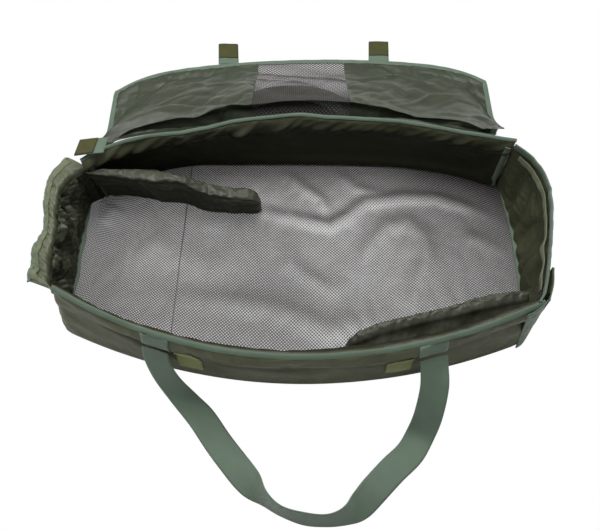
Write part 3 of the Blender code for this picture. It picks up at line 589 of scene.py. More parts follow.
def build_long_wall(prefix, front, finish):
    ring = pad_section(0.5 * WALL_THICK, 0.073, 66)
    out = -1.0 if front else 1.0
    middle_height, half_height = 0.0752, 0.0745

    def place_of(u, across, up):
        x = -HALF_LENGTH + 2 * HALF_LENGTH * u
        height = middle_height + up * half_height
        if x < 0:
            x *= left_flare(height, front)
        thin = 1.0 - (0.08 if front else 0.40) * max(0.0, up) ** 6
        outward, inward = max(0.0, across * out), max(0.0, -across * out)
        y = wall_middle(x, height, front) + across * (0.5 * WALL_THICK - 0.0012) * thin
        if front:
            y += out * outward * line_at(FRONT_SWELL, height)
            y += inward * line_at(FRONT_LIP, x) * bump_at(height, 0.136, 0.018)
        else:
            y -= inward * line_at(FOOT_SWELL, x) * bump_at(height, 0.0, 0.035)
            gathered = 0.20 + 2.4 * abs(uneven(x * 33.0 - height * 50.0, height * 5.0, 12.0))
            gathered *= 0.7 + 0.6 * uneven(x * 8.0, 3.0, 2.0)
            y -= inward * 0.0125 * gathered * bump_at(height, 0.127, 0.014)
        return x, y, max(0.0008, height - rim_dip(x, front) * (height / 0.146) ** 2)

    piece, u, across, up = pad_object(f"{prefix}_wall_pad", 168, ring, place_of, finish, end_taper=0.025)
    held = (up > 0.999) & (np.abs(across) < 0.35) | (up < -0.98) | (u < 0.001) | (u > 0.999)
    points = points_of(piece)
    for i, (x, y, z) in enumerate(points):
        if held[i]:
            continue
        top, clear = bump_at(z, 0.150, 0.030), min(1.0, z / 0.080)
        pucker = abs(uneven(x * 30.0, z * 9.0, 5.0 + out)) * (0.0030 if front else 0.0070) * top
        long = 0.0034 * uneven(x * 4.0 + 9.0, z * 42.0 + x * 7.0, 2.0 + out)
        long *= clear * (1.0 + 0.8 * within((-0.22 - x) / 0.08))
        points[i, 1] += across[i] * (0.0010 * clear - pucker + long)
    set_points(piece, points)
    settle(piece, held | (up < -0.7), frames=14, grow=0.018, most=0.0040, pressure=1.2)
    # Painted shade on the inside face. The front wall also gets a painted dark band along its crease. On the
    # back wall the shade lifts near the rim, a painted light on its rolled top.
    shade_share = np.clip(-across * out * 3.0 + 0.2, 0.0, 1.0)
    if front:
        shade_share = np.maximum(shade_share, 0.40 * np.exp(-((points[:, 2] - 0.103) / 0.012) ** 2))
    else:
        shade_share *= 1.0 - 0.92 * np.exp(-((0.152 - points[:, 2]) / 0.021) ** 2)
    give_values(piece, "painted_shade", shade_share)
    smooth_over(piece)
    dress(piece, "root", "olive_nylon", f"{prefix}_wall_cover", f"{prefix}_wall_foam")
    return piece


OLIVE = (0.093, 0.100, 0.053)
nylon = coated_nylon("olive_nylon_coated", OLIVE)
front_pad = build_long_wall("front", True, nylon)
back_pad = build_long_wall("back", False, nylon)


# Rim and floor bindings: 25 mm teal polypropylene tape folded over each raw edge and sewn through near its
# lower edge. It follows every wave of the cloth that it binds.
def ribbed_webbing(name, colour):
    """Woven tape: ribs along its length crossed by fine picks, with painted shade in the furrows and a slight
    shine.
    """
    rib = 0.0016
    finish, tree, shader = new_finish(name)
    coordinates = add_node(tree, "ShaderNodeTexCoord")
    parts = add_node(tree, "ShaderNodeSeparateXYZ", {0: coordinates.outputs["UV"]})
    ribs = wave_of(tree, parts.outputs[0], rib)
    skewed = combine(tree, parts.outputs[1], combine(tree, parts.outputs[0], 0.5, "MULTIPLY"))
    picks = wave_of(tree, skewed, rib * 0.75)
    woven = combine(tree, ribs, combine(tree, picks, 0.45, "MULTIPLY"))
    cloudy = spots_of(tree, coordinates.outputs["Object"], 16.0, 4.0)
    furrow_shade = range_of(tree, woven, 0.78, 1.10, -1.4, 1.4)
    clouds = range_of(tree, cloudy, 0.86, 1.14, 0.3, 0.7)
    shade = range_of(tree, combine(tree, furrow_shade, clouds, "MULTIPLY"), 0.0, 1.0, 0.6, 1.3)
    base = mix_of(tree, shade, [c * 0.6 for c in colour], [c * 1.3 for c in colour])
    fill(tree, shader, {"Base Color": base, "Normal": bump_of(tree, 0.6, 0.00012, woven),
                        "Roughness": range_of(tree, cloudy, 0.55, 0.72, 0.3, 0.7),
                        "Sheen Weight": 0.25, "Sheen Roughness": 0.45})
    return finish


TEAL = (0.116, 0.172, 0.120)
webbing = ribbed_webbing("teal_webbing_ribbed", TEAL)
WEBBING_THICK = 0.0016


def sewn_tape(name, node, body, finish, slot, columns, rows, place, thickness=WEBBING_THICK):
    """A flat piece of webbing or of hook or loop tape, sewn on."""
    tape = sheet_of(name, columns, rows, place, finish, thickness)
    dress(tape, body, slot, node)


def folded_tape(name, node, body, path, downs, *, width, thick, seed):
    """A tape folded over an edge: path is the line of its fold, and downs the way its sides hang from it."""
    half = ((0.24, 1.0), (0.48, 0.92), (0.50, 0.50), (0.47, 0.05), (0.34, 0.0))
    profile = half + tuple((-a, b) for a, b in half[::-1])
    rows = []
    for i, point in enumerate(path):
        ahead = (path[min(i + 1, len(path) - 1)] - path[max(i - 1, 0)]).normalized()
        down = Vector(downs[i] if len(downs) == len(path) else downs[0])
        down = (down - ahead * down.dot(ahead)).normalized()
        out = ahead.cross(down)
        ripple = 0.0009 * uneven(i * 0.31, seed * 7.3, 1.0)
        wider = width * (1.0 + 0.10 * uneven(i * 0.17, seed * 3.1, 9.0))
        rows.append([point + out * (a * thick + ripple) - down * (b - 1.0) * wider for a, b in profile])
    tape = grid_object(name, rows, webbing, closed=True)
    cap_tube(tape, len(rows), len(profile))
    dress(tape, body, "teal_webbing", node)


def cap_tube(piece, rows, columns):
    """Close both ends of a tube with a flat face."""
    uv = map_of(piece.data)
    faces = [list(face.vertices) for face in piece.data.polygons]
    faces += [list(range(columns))[::-1], [(rows - 1) * columns + c for c in range(columns)]]
    remake(piece, points_of(piece), faces, np.concatenate((uv, np.tile(uv[:1], (2 * columns, 1)))))
    piece.data.set_sharp_from_angle(angle=math.radians(50.0))


def build_rim_binding(prefix, front):
    first = -0.4325 if front else -HALF_LENGTH
    behind, width, raised = (-0.0010, 0.0098, 0.0066) if front else (0.0040, 0.0076, 0.0080)
    path = []
    for i in range(151):
        x = first + (HALF_LENGTH - first) * i / 150
        path.append(Vector((x, wall_middle(x, RIM, front) + behind, 0.1462 + raised - rim_dip(x, front))))
    folded_tape(f"{prefix}_rim_tape", f"{prefix}_rim_binding", "root", path, [(0.0, -0.80, -0.60)],
                width=width, thick=0.0028, seed=2.0 if front else 3.0)


build_rim_binding("front", True)
build_rim_binding("back", False)


# End walls: single cloth flaps with a bound rim and a strip of loop tape. The left one has slumped outwards
# and folded over, so that it is crumpled below a jagged crease; the right one stands and bulges.
LEFT_FOOT_X = ((0.0, 0.06, 0.5, 0.94, 1.0), (-0.430, -0.460, -0.458, -0.449, -0.4330))
LEFT_CREASE_X = ((0.0, 0.08, 0.20, 0.35, 0.50, 0.75, 0.92, 1.0),
                 (-0.430, -0.456, -0.474, -0.472, -0.466, -0.462, -0.452, -0.4310))
LEFT_EDGE_X = ((0.0, 0.10, 0.20, 0.33, 0.50, 0.62, 0.72, 0.88, 1.0),
               (-0.482, -0.498, -0.508, -0.507, -0.496, -0.491, -0.502, -0.500, -0.497))
LEFT_CLOTH, LEFT_CREASE = 0.152, 0.118


def left_end_place(s, distance):
    """A point of the left end wall: s along it from the back, distance up its cloth from the floor."""
    back = line_at(((0.0, LEFT_CREASE, LEFT_CLOTH), (0.147, 0.139, 0.174)), distance)
    front = line_at(((0.0, LEFT_CREASE, LEFT_CLOTH), (-0.159, -0.1445, -0.116)), distance)
    crease = line_at(LEFT_CREASE_X, s)
    if distance < LEFT_CREASE:
        t = distance / LEFT_CREASE
        foot = line_at(LEFT_FOOT_X, s)
        x, z = foot + (crease - foot) * t, 0.0015 + 0.1195 * t
    else:
        t = (distance - LEFT_CREASE) / (LEFT_CLOTH - LEFT_CREASE)
        x = crease + (line_at(LEFT_EDGE_X, s) - crease) * t
        z = 0.121 - 0.011 * t + 0.003 * math.sin(math.pi * t)
    return Vector((x, back + (front - back) * s, z))


def crease_jag(s):
    """How far the crease strays from its line, at s along the wall."""
    return 0.0060 * uneven(s * 13.0, 3.0, 1.0) + 0.0030 * uneven(s * 31.0, 3.0, 4.0)


def left_end_shape(u, v):
    """The left end wall with its roll, pleats and ragged crease: u up its cloth, v along it from the back."""
    distance = LEFT_CLOTH * u
    jag = crease_jag(v)
    near = bump_at(distance, LEFT_CREASE, 0.020)
    point = left_end_place(v, within(distance + jag * near, 0.0, LEFT_CLOTH))
    sewn = min(1.0, 9.0 * u, 12.0 * min(v, 1.0 - v))
    low = within((LEFT_CREASE + 0.004 - distance) / 0.020)
    high = min(1.0, (distance / LEFT_CREASE) ** 1.5) if distance < LEFT_CREASE else 1.0
    roll = 0.009 * math.sin(math.pi * min(1.0, distance / LEFT_CREASE)) ** 1.2
    across = 0.022 * uneven(v * 7.5 + 2.0, u * 2.6, 7.0)
    pleat = 0.034 * (0.20 - abs(uneven(v * 13.0 + u * 4.0, u * 3.0, 4.0)))
    pleat += 0.010 * (0.20 - abs(uneven(v * 27.0 - u * 9.0, u * 8.0, 5.0)))
    point.x += sewn * low * (roll + (0.35 + 0.65 * high) * (across + pleat))
    notch = math.exp(-((distance - LEFT_CREASE + jag) / 0.0040) ** 2)
    point.z += sewn * (low * high * 0.45 * (across + pleat) - 0.016 * notch)
    margin = 0.0070 * uneven(v * 11.0, 5.0, 2.0) + 0.0045 * uneven(v * 30.0, u * 9.0, 2.0)
    point.z += sewn * (1.0 - low) * margin
    return point


def edge_of(columns, rows):
    """Which points of a grid cloth are on its four sides."""
    row, column = np.divmod(np.arange((columns + 1) * (rows + 1)), columns + 1)
    return (column == 0) | (column == columns) | (row == 0) | (row == rows)


def declare_cloth(piece):
    """Work out how large a cloth was cut; the result is not kept."""
    width, length, area = cloth_facts(piece)
    flat = (width * 1.01, length * 1.01)
    area = min(area, flat[0] * flat[1])
    max(area, 0.31 * flat[0] * flat[1])


def fuzzy_tape(name, colour, dots):
    """Hook or loop tape: rows of tiny hooks, or a dense pile of loops."""
    hook = 0.0017
    finish, tree, shader = new_finish(name)
    coordinates = add_node(tree, "ShaderNodeTexCoord")
    place = coordinates.outputs["Object"]
    parts = add_node(tree, "ShaderNodeSeparateXYZ", {0: coordinates.outputs["UV"]})
    if dots:
        pile = combine(tree, wave_of(tree, parts.outputs[0], hook), wave_of(tree, parts.outputs[1], hook))
        height = range_of(tree, pile, 0.0, 1.0, 0.2, 1.6)
    else:
        height = spots_of(tree, place, 620.0, 4.0)
    cloudy = spots_of(tree, place, 55.0, 4.0)
    # Painted shade: the tips of the hooks or loops are lighter and the hollows between them darker, over
    # clouds of random tone.
    high, light = range_of(tree, height, 0.0, 0.6, 0.2, 0.8), range_of(tree, cloudy, 0.0, 0.4, 0.3, 0.7)
    base = mix_of(tree, combine(tree, high, light), [c * 0.62 for c in colour], [c * 1.35 for c in colour])
    fill(tree, shader, {"Base Color": base, "Normal": bump_of(tree, 0.7, 0.0003, height),
                        "Roughness": range_of(tree, cloudy, 0.70, 0.92), "Sheen Weight": 0.06})
    return finish


end_nylon = coated_nylon("olive_nylon_end", (0.124, 0.138, 0.086), 0.36)
strip_tape = fuzzy_tape("loop_tape_strip", (0.150, 0.170, 0.098), False)
END_CLOTH_THICK, STRIP_THICK = 0.0010, 0.0014


def build_left_end():
    columns, rows = 64, 110
    panel = sheet_of("left_end_cloth", columns, rows, left_end_shape, end_nylon)
    settle(panel, edge_of(columns, rows), frames=10, grow=0.03, most=0.004, bending=0.01)
    # Painted shade: the inside below the crease is darker, and darkest along the jagged crease itself.
    reach = np.tile(np.arange(columns + 1) / columns * LEFT_CLOTH, rows + 1)
    shade_share = 0.84 * np.clip((LEFT_CREASE - reach) / 0.010 + 0.5, 0.0, 1.0)
    jag = np.repeat([crease_jag(r / rows) for r in range(rows + 1)], columns + 1)
    notch = 1.25 * np.exp(-((reach - LEFT_CREASE + jag) / 0.0040) ** 2)
    give_values(panel, "painted_shade", np.maximum(shade_share, notch))
    thicken(panel, END_CLOTH_THICK)
    smooth_over(panel)
    dress(panel, "left_end_wall", "olive_nylon", "left_end_panel")
    declare_cloth(panel)

    edge = [left_end_shape(1.0, i / 90) + Vector((-0.0050, 0.0, -0.0030)) for i in range(91)]
    folded_tape("left_end_tape", "left_end_binding", "left_end_wall", edge, [(0.86, 0.0, 0.5)],
                width=0.0110, thick=0.0034, seed=4.0)

    def strip_place(u, v):
        point = left_end_shape((0.1390 + 0.0110 * u) / LEFT_CLOTH, 0.02 + 0.96 * v)
        return point + Vector((-0.0006, 0.0, 0.0024))
    sewn_tape("left_end_loop", "left_end_loop_strip", "left_end_wall", strip_tape, "loop_tape",
              5, 84, strip_place, STRIP_THICK)


build_left_end()


RIGHT_RIM = ((0.0, 0.046, 0.10, 0.165, 0.24, 0.324, 0.46, 0.60, 0.79, 0.93, 1.0),
             (0.430, 0.446, 0.460, 0.471, 0.4785, 0.482, 0.4785, 0.4705, 0.457, 0.445, 0.437))


def right_end_place(s, t):
    """A point of the right end wall: s along it from the back, t up it."""
    s = within(s)
    foot = 0.436 + 0.016 * math.sin(math.pi * s)
    rim = line_at(RIGHT_RIM, s)
    x = foot + (rim - foot) * t + 0.006 * math.sin(math.pi * t) * math.sin(math.pi * s)
    corners = []
    for front in (False, True):
        out = 1.0 if front else -1.0
        low, high = wall_middle(0.43, 0.0, front), wall_middle(0.43, RIM, front)
        corners.append(low + (high - low) * t + out * (WALL_THICK / 2 + 0.003))
    return Vector((x, corners[0] + (corners[1] - corners[0]) * s, 0.0015 + 0.1465 * t))


def right_end_off(s, t, inward):
    """The same point, moved off the wall towards the inside of the cradle."""
    along = right_end_place(s + 0.01, t) - right_end_place(s - 0.01, t)
    along.z = 0.0
    along.normalize()
    return right_end_place(s, t) + Vector((along.y, -along.x, 0.0)) * inward


def right_end_soft(u, v):
    """How far the right end wall's own softness moves it inwards."""
    inside = min(1.0, 6.0 * min(u, 1.0 - u), 8.0 * min(v, 1.0 - v))
    soft = 0.0120 * uneven(u * 6.5, v * 1.2, 3.0)
    soft += 0.0240 * (abs(uneven(u * 9.0 + v * 2.0, v * 1.6, 6.0)) - 0.2) * (1.0 - 0.8 * v)
    near_back = math.exp(-u / 0.16) * (1.1 - v)
    soft += 0.0180 * near_back * abs(uneven(u * 12.0 + 3.0 * v, v * 16.0 + 8.0 * u, 9.0))
    return inside * soft


def right_end_shape(u, v):
    corner = max(0.0, 1.0 - min(u, 1.0 - u) / 0.04)
    point = right_end_off(u, v, right_end_soft(u, v))
    lap, lapped = HALF_LENGTH - 0.007, 0.0085 if u > 0.5 else -0.0085
    end = Vector((lap, wall_middle(lap, 0.15 * v, u > 0.5) + lapped, point.z))
    return point.lerp(end, corner * corner)


def build_right_end():
    columns, rows = 96, 44
    panel = sheet_of("right_end_cloth", columns, rows, right_end_shape, nylon)
    settle(panel, edge_of(columns, rows), frames=12, grow=0.02, most=0.005)
    # Painted shade over the whole right end cloth.
    give_values(panel, "painted_shade", np.full((columns + 1) * (rows + 1), 0.55))
    thicken(panel, END_CLOTH_THICK)
    smooth_over(panel)
    dress(panel, "right_end_wall", "olive_nylon", "right_end_panel")
    declare_cloth(panel)

    rim = [right_end_place(i / 80, 1.0) + Vector((0.0, 0.0, 0.0095)) for i in range(81)]
    last_x = 0.426
    rim.append(Vector((last_x, wall_middle(last_x, RIM, True) - 0.0010, rim[-1].z)))
    folded_tape("right_end_tape", "right_end_binding", "right_end_wall", rim, [(0.0, 0.0, -1.0)],
                width=0.0130, thick=0.0038, seed=5.0)

    def strip_place(u, v):
        s, t = 0.04 + 0.92 * u, 0.86 + 0.085 * v
        return right_end_off(s, t, 0.0050 + max(0.0, right_end_soft(s, t)))
    sewn_tape("right_end_loop", "right_end_loop_strip", "right_end_wall", strip_tape, "loop_tape",
              84, 5, strip_place, STRIP_THICK)

    def corner_place(u, v):
        start = 0.420 - 0.018 * v
        x, height = start + (0.4415 - start) * u, 0.008 + 0.146 * v
        y = wall_middle(x, height, True) - WALL_THICK / 2 - 0.0042 + 0.0130 * u ** 3
        return Vector((x, y + 0.0012 * uneven(u * 3.0, v * 5.0, 1.0), height))
    sewn_tape("right_corner_webbing", "right_corner_strip", "right_end_wall", webbing, "teal_webbing",
              12, 24, corner_place)


build_right_end()


# Floor bindings and corner seams: the same tape, laid flat over the seam between the floor and each end,
# and run up the inside of the back corners.
def build_floor_binding(end, out):
    def place(u, v):
        x, y, z = floor_place(max(0.0, out), 0.03 + 0.94 * v)
        wander = 0.0020 * uneven(v * 7.0, 2.0, 5.0 if out < 0.0 else 6.0)
        lift = 0.0022 + 0.0016 * math.sin(math.pi * u) + 0.0016 * abs(uneven(v * 9.0, 4.0, 1.0))
        return Vector((x + out * 0.0060 - u * out * 0.0150 + wander, y, z + lift))
    sewn_tape(f"floor_binding_{end}_tape", f"floor_binding_{end}", "root", webbing, "teal_webbing",
              6, 70, place, 0.0018)


build_floor_binding("left", -1.0)
build_floor_binding("right", 1.0)


def build_corner_seam(end, middle):
    def place(u, v):
        height = 0.006 + 0.134 * v
        x = middle + (u - 0.5) * 0.010 + 0.0015 * uneven(v * 6.0, middle, 3.0)
        y = wall_middle(x, height, False) - WALL_THICK / 2 - 0.0018 - 0.0012 * math.sin(math.pi * u)
        return Vector((x, y, height))
    sewn_tape(f"back_{end}_seam_tape", f"back_{end}_seam_binding", "root", webbing, "teal_webbing",
              5, 40, place)


build_corner_seam("right", 0.4200)
build_corner_seam("left", -0.4190)


# End fins: tapered foam pads in boxed nylon covers, sewn upright into two opposite corners. Their top edge
# is a narrow gusset between two seams, which pucker, and their tips hang loose over the foam.
# A darker copy of the olive nylon: painted shade, since the lamp above lights the fins' tops brightly.
shaded_fin_nylon = coated_nylon("olive_nylon_fin_shaded", (0.058, 0.063, 0.043), 0.38)
FIN_SHARES = (0.0, 0.05, 0.10, 0.20, 0.30, 0.38, 0.46, 0.53, 0.58, 0.63, 0.70, 0.82, 0.93, 1.0)
LEFT_FIN = {
    "top": (0.127, 0.128, 0.129, 0.129, 0.127, 0.125, 0.125, 0.121, 0.113, 0.100,
            0.086, 0.076, 0.072, 0.062),
    "far": (0.012, 0.015, 0.017, 0.020, 0.023, 0.024, 0.022, 0.018, 0.019, 0.020,
            0.021, 0.022, 0.022, 0.014),
    "near": (-0.002, 0.000, 0.001, 0.005, 0.007, 0.009, 0.006, 0.003, 0.004, 0.007,
             0.008, 0.009, 0.008, 0.003),
    "lean": (0.034, 0.034, 0.035, 0.038, 0.036, 0.032, 0.028, 0.024, 0.020, 0.016,
             0.013, 0.012, 0.012, 0.012),
    "slope": 0.0, "foot": 0.005, "near_side": -1.0}
RIGHT_FIN = {
    "top": (0.118, 0.122, 0.126, 0.127, 0.128, 0.126, 0.125, 0.125, 0.126, 0.127,
            0.127, 0.125, 0.118, 0.100),
    "far": (-0.004, -0.007, -0.009, -0.013, -0.013, -0.011, -0.010, -0.010, -0.011, -0.011,
            -0.012, -0.013, -0.009, -0.003),
    "near": (0.006, 0.007, 0.007, 0.006, 0.005, 0.004, 0.003, 0.002, 0.002, 0.002,
             0.002, 0.003, 0.005, 0.004),
    "lean": (0.010, 0.014, 0.018, 0.020, 0.020, 0.020, 0.020, 0.019, 0.018, 0.017,
             0.015, 0.012, 0.010, 0.008),
    "slope": 0.024, "foot": 0.017, "near_side": 1.0}
FIN_LENGTH = 0.350


def build_fin(name, hinge, angle, form, seed):
    ahead = Vector((math.cos(angle), math.sin(angle), 0.0))
    aside = Vector((-ahead.y, ahead.x, 0.0))
    ring = pad_section(0.014, 0.055, 60, 0.26)
    low, near_side = form["foot"], form["near_side"]

    def place_of(u, across, up):
        top, far, near, lean = (line_at((FIN_SHARES, form[key]), u) for key in ("top", "far", "near", "lean"))
        top *= math.sqrt(max(0.0, 1.0 - max(0.0, (u - 0.955) / 0.056) ** 2))
        near *= near_side
        height = (low + top) / 2 + up * (top - low) / 2
        middle, half = (far + near) / 2, abs(near - far) / 2
        sloped = form["slope"] * within((top - height) / 0.020) * max(0.0, across * near_side)
        leaning = lean * (1.0 - height / 0.126)
        out = middle + across * half + near_side * sloped + leaning
        return tuple(Vector((hinge[0], hinge[1], height)) + ahead * (FIN_LENGTH * u) + aside * out)

    piece, u, across, up = pad_object(name + "_pad", 110, ring, place_of, shaded_fin_nylon, end_taper=0.04)
    seam = np.abs(across) + np.abs(up) > (np.abs(ring[0]) + np.abs(ring[1])).max() - 0.001
    held = seam | (u < 0.001)
    points = points_of(piece)
    for i in range(len(points)):
        x, on_face = u[i] * FIN_LENGTH, abs(across[i]) > 0.9
        if held[i]:
            points[i, 2] += 0.0030 * uneven(x * 30.0, across[i] * 0.6, seed + 2.0)
            continue
        pucker = abs(uneven(x * 42.0, up[i] * 3.0 + across[i], seed)) * 0.0075
        if on_face:
            pucker *= bump_at((1.0 - up[i]) * 0.055, 0.0, 0.018)
            sway = 0.0036 * uneven(x * 11.0, up[i] * 1.6 - u[i] * 3.0, seed + 4.0)
            points[i] += np.array(aside) * across[i] * (0.0015 + sway - pucker)
        else:
            pucker *= 0.7 * (up[i] > 0.9)
            points[i, 2] += up[i] * (0.0008 - pucker * 0.8)
    set_points(piece, points)
    settle(piece, held, frames=14, grow=0.050, most=0.0060, pressure=1.0, bending=0.008)
    # Painted shade along the two puckered top seams.
    give_values(piece, "painted_shade", 0.95 * (seam & (up > 0.0)))
    smooth_over(piece)
    dress(piece, name, "olive_nylon", name + "_cover", name + "_foam")


build_fin("left_fin", (-0.431, 0.118), math.radians(-3.0), LEFT_FIN, 11.0)
build_fin("right_fin", (0.424, -0.127), math.radians(196.0), RIGHT_FIN, 23.0)


# Lid: two nylon panels with a window of brown mesh between them, sewn to the back rim and thrown back over
# it. Its slack hangs behind the wall in a deep fold, then runs down to the ground; a folded tape binds its
# other edges.
LID_ROWS = tuple(0.04 * i for i in range(26)) + tuple(1.0 + i / 44 for i in range(1, 45))
LID_HALF_AT_RIDGE, LID_HALF, WINDOW_HALF = 0.396, 0.4445, 0.105


def lid_far(x):
    """Y of the lid's far edge."""
    k = x / LID_HALF
    return 0.557 - 0.045 * k ** 2 - 0.040 * k ** 8 + 0.035 * x


def lid_half(row):
    """Half the lid's width: it narrows towards the ridge."""
    return LID_HALF_AT_RIDGE + (LID_HALF - LID_HALF_AT_RIDGE) * within((row - 1.0) / 0.30)


def back_outer(x, height):
    """Y of the outside of the back wall."""
    return wall_middle(x, height, False) + WALL_THICK / 2


def lid_plain(across, row):
    """A point of the lid: across is -1 at its left edge and 1 at its right, row 0 at its seam, 1 on its ridge
    and 2 at its far edge."""
    fold = 1.0 - across * across
    rim_x = across * 0.385
    valley_z = RIM - 0.004 - 0.092 * fold
    valley_y = back_outer(rim_x, valley_z) + 0.0040 + 0.0065 * min(1.0, 4.0 * fold)
    ridge_y = valley_y + 0.001 + 0.046 * fold ** 3
    ridge_z = RIM - 0.032 * fold - 0.045 * fold * (1.0 - fold)
    x = across * lid_half(row) - 0.006 * max(0.0, row - 1.0)
    if row <= 1.0:
        seam_y, seam_z = wall_middle(rim_x, RIM, False) + 0.0050, RIM - 0.001 - rim_dip(rim_x, False)
        clear = back_outer(rim_x, 0.135) + 0.0070
        places = (0.0, 0.16, 0.6, 0.88, 1.0)
        ys = (seam_y, clear, max(valley_y, clear), ridge_y + 0.006 * fold, ridge_y)
        zs = (seam_z, seam_z - 0.012, min(valley_z, seam_z - 0.020), ridge_z - 0.020 * fold, ridge_z)
        return Vector((x, line_at((places, ys), row), line_at((places, zs), row)))
    t = row - 1.0
    ground_share = 1.0 - 0.50 * across ** 4 + 0.22 * uneven(x * 6.0, 2.0, 5.0)
    drop = max(0.0, 1.0 - t / ground_share) ** 1.5
    y = ridge_y + (lid_far(x) - ridge_y) * t
    return Vector((x, y, 0.004 + (ridge_z - 0.004) * drop + 0.012 * math.sin(math.pi * t) * fold))


LID_FOLDS = (
    (0.010, 0.016, ((-0.385, 0.185), (-0.280, 0.262), (-0.180, 0.300), (-0.110, 0.310))),
    (0.008, 0.014, ((0.110, 0.318), (0.200, 0.300), (0.300, 0.262), (0.372, 0.228))),
    (0.007, 0.020, ((-0.330, 0.330), (-0.240, 0.400), (-0.150, 0.440), (-0.115, 0.500))),
    (0.006, 0.016, ((-0.390, 0.470), (-0.300, 0.440), (-0.190, 0.470))),
    (0.006, 0.018, ((0.130, 0.380), (0.220, 0.420), (0.330, 0.400), (0.410, 0.440))),
    (0.006, 0.014, ((0.180, 0.530), (0.205, 0.470), (0.290, 0.440))),
    (0.006, 0.014, ((-0.186, 0.530), (-0.200, 0.480), (-0.260, 0.460))),
    (0.006, 0.007, ((-0.400, 0.290), (-0.330, 0.335), (-0.250, 0.345))),
    (0.005, 0.006, ((-0.405, 0.390), (-0.320, 0.370), (-0.230, 0.405))),
    (0.005, 0.007, ((-0.290, 0.480), (-0.220, 0.430), (-0.150, 0.415))),
    (0.006, 0.007, ((0.130, 0.455), (0.230, 0.500), (0.330, 0.470))),
    (0.005, 0.006, ((0.230, 0.350), (0.300, 0.410), (0.370, 0.415))),
    (0.005, 0.007, ((0.300, 0.330), (0.360, 0.300), (0.410, 0.310))),
)


def lid_place(across, row):
    point = lid_plain(across, row)
    x, y, z = point
    inside = min(1.0, 5.0 * row, 7.0 * (2.0 - row), 12.0 * (1.0 - abs(across)) + 0.15)
    soft = 0.0070 * uneven(x * 5.0 + 3.0, y * 9.0, 2.0)
    soft += 0.0080 * (abs(uneven(x * 7.0 + y * 9.0, y * 16.0, 4.0)) - 0.2)
    soft += 0.0022 * (abs(uneven(x * 22.0 - y * 18.0, y * 24.0, 6.0)) - 0.2)
    lift = inside * (fold_height(x, y, LID_FOLDS) + soft)
    if row < 1.0:
        point.y += 0.5 * inside * soft
        lift *= row
    point.z = max(0.0022, z + lift)
    return point


def lid_share(share, part, row):
    """Where a share of the width of one of the three parts lies across the lid."""
    window = WINDOW_HALF / lid_half(row)
    if part == "left":
        return -1.0 + share * (1.0 - window)
    if part == "right":
        return window + share * (1.0 - window)
    return window * 1.03 * (2.0 * share - 1.0)


def bend_lid(piece):
    """Bake a lid part's place into its points."""
    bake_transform(piece)


brown_window = knitted_mesh("brown_mesh_window", (0.050, 0.042, 0.038), 0.06, 0.0062)
# The lid's nylon is a darker copy of the olive nylon: painted shade, since the lamp above lights the lid
# brightly.
shaded_lid_nylon = coated_nylon("olive_nylon_lid_shaded", (0.050, 0.060, 0.038), 0.40)
LID_CLOTH_THICK = 0.0008


def build_lid_part(part):
    window = part == "window"
    columns, last = 46 if window else 66, len(LID_ROWS) - 1

    def place(u, v):
        row = LID_ROWS[round(v * last)]
        return lid_place(lid_share(u, part, row), row)
    panel = sheet_of(f"lid_{part}_cloth", columns, last, place, brown_window if window else shaded_lid_nylon)
    lying = np.repeat(LID_ROWS, columns + 1)
    if window:
        set_points(panel, points_of(panel) - np.array([0.0, 0.0, 0.0014]))
    else:
        held = edge_of(columns, last) | (lying < 0.16)
        settle(panel, held, frames=12, grow=0.035, most=0.0055, bending=0.006)
        points = points_of(panel)
        points[:, 2] = np.maximum(points[:, 2], 0.0022)
        set_points(panel, points)
    # Painted shade in the valley behind the back wall: the panels darken and the window's holes close, from
    # the seam to near the ridge.
    give_values(panel, "closing_and_painted_shade" if window else "painted_shade", 0.42 * np.clip((1.0 - lying) / 0.12, 0.0, 1.0))
    thicken(panel, LID_CLOTH_THICK)
    smooth_over(panel)
    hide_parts("lid_window" if window else f"lid_{part}_panel")
    bend_lid(panel)
    declare_cloth(panel)


build_lid_part("left")
build_lid_part("window")
build_lid_part("right")


def build_lid_binding():
    side_rows = [0.10, 0.40, 0.70, 0.88] + [1.0 + i / 40 for i in range(41)]
    far_edge = [(-1.0 + i / 60, 2.0) for i in range(1, 120)]
    run = [(-1.0, row) for row in side_rows] + far_edge + [(1.0, row) for row in side_rows[::-1]]
    path, downs = [], []
    for across, row in run:
        aside = math.copysign(1.0, across) if abs(across) == 1.0 else 0.0
        outward = Vector((aside, 1.0 if row == 2.0 else 0.0, 0.0)).normalized()
        path.append(lid_place(across, row) + outward * 0.0062 + Vector((0.0, 0.0, 0.0006)))
        downs.append(-outward)
    folded_tape("lid_tape", "lid_binding", "lid", path, downs, width=0.0115, thick=0.0030, seed=6.0)


build_lid_binding()


# Tabs: 50 mm straps, webbing at the sewn end and faced with hook tape beyond. Two sit on the lid's far
# edge, one is open over the back left corner and one is closed round the front right corner.
TAPE_WIDTH, HOOK_THICK = 0.050, 0.0018
hook_tape = fuzzy_tape("hook_tape_hooks", (0.062, 0.062, 0.009), True)


def build_lid_tab(name, sign, lean):
    middle = sign * 0.186
    start = max(lid_far(middle - TAPE_WIDTH / 2), lid_far(middle + TAPE_WIDTH / 2)) + 0.0090

    def strap_place(u, v):
        x = middle + (u - 0.5) * TAPE_WIDTH + lean * v
        lift = 0.0010 * math.sin(math.pi * u) + 0.0016 * uneven(u * 2.0, v * 3.0, sign)
        return Vector((x, start - 0.006 + v * 0.068, 0.0040 + lift - 0.0012 * v))

    def hook_place(u, v):
        return strap_place(0.02 + 0.96 * u, 0.29 + 0.71 * v) + Vector((0.0, 0.0005, 0.0019))
    sewn_tape(name + "_webbing", name + "_strap", name, webbing, "teal_webbing", 10, 20, strap_place)
    sewn_tape(name + "_hooks", name + "_hook", name, hook_tape, "hook_tape", 10, 16, hook_place, HOOK_THICK)


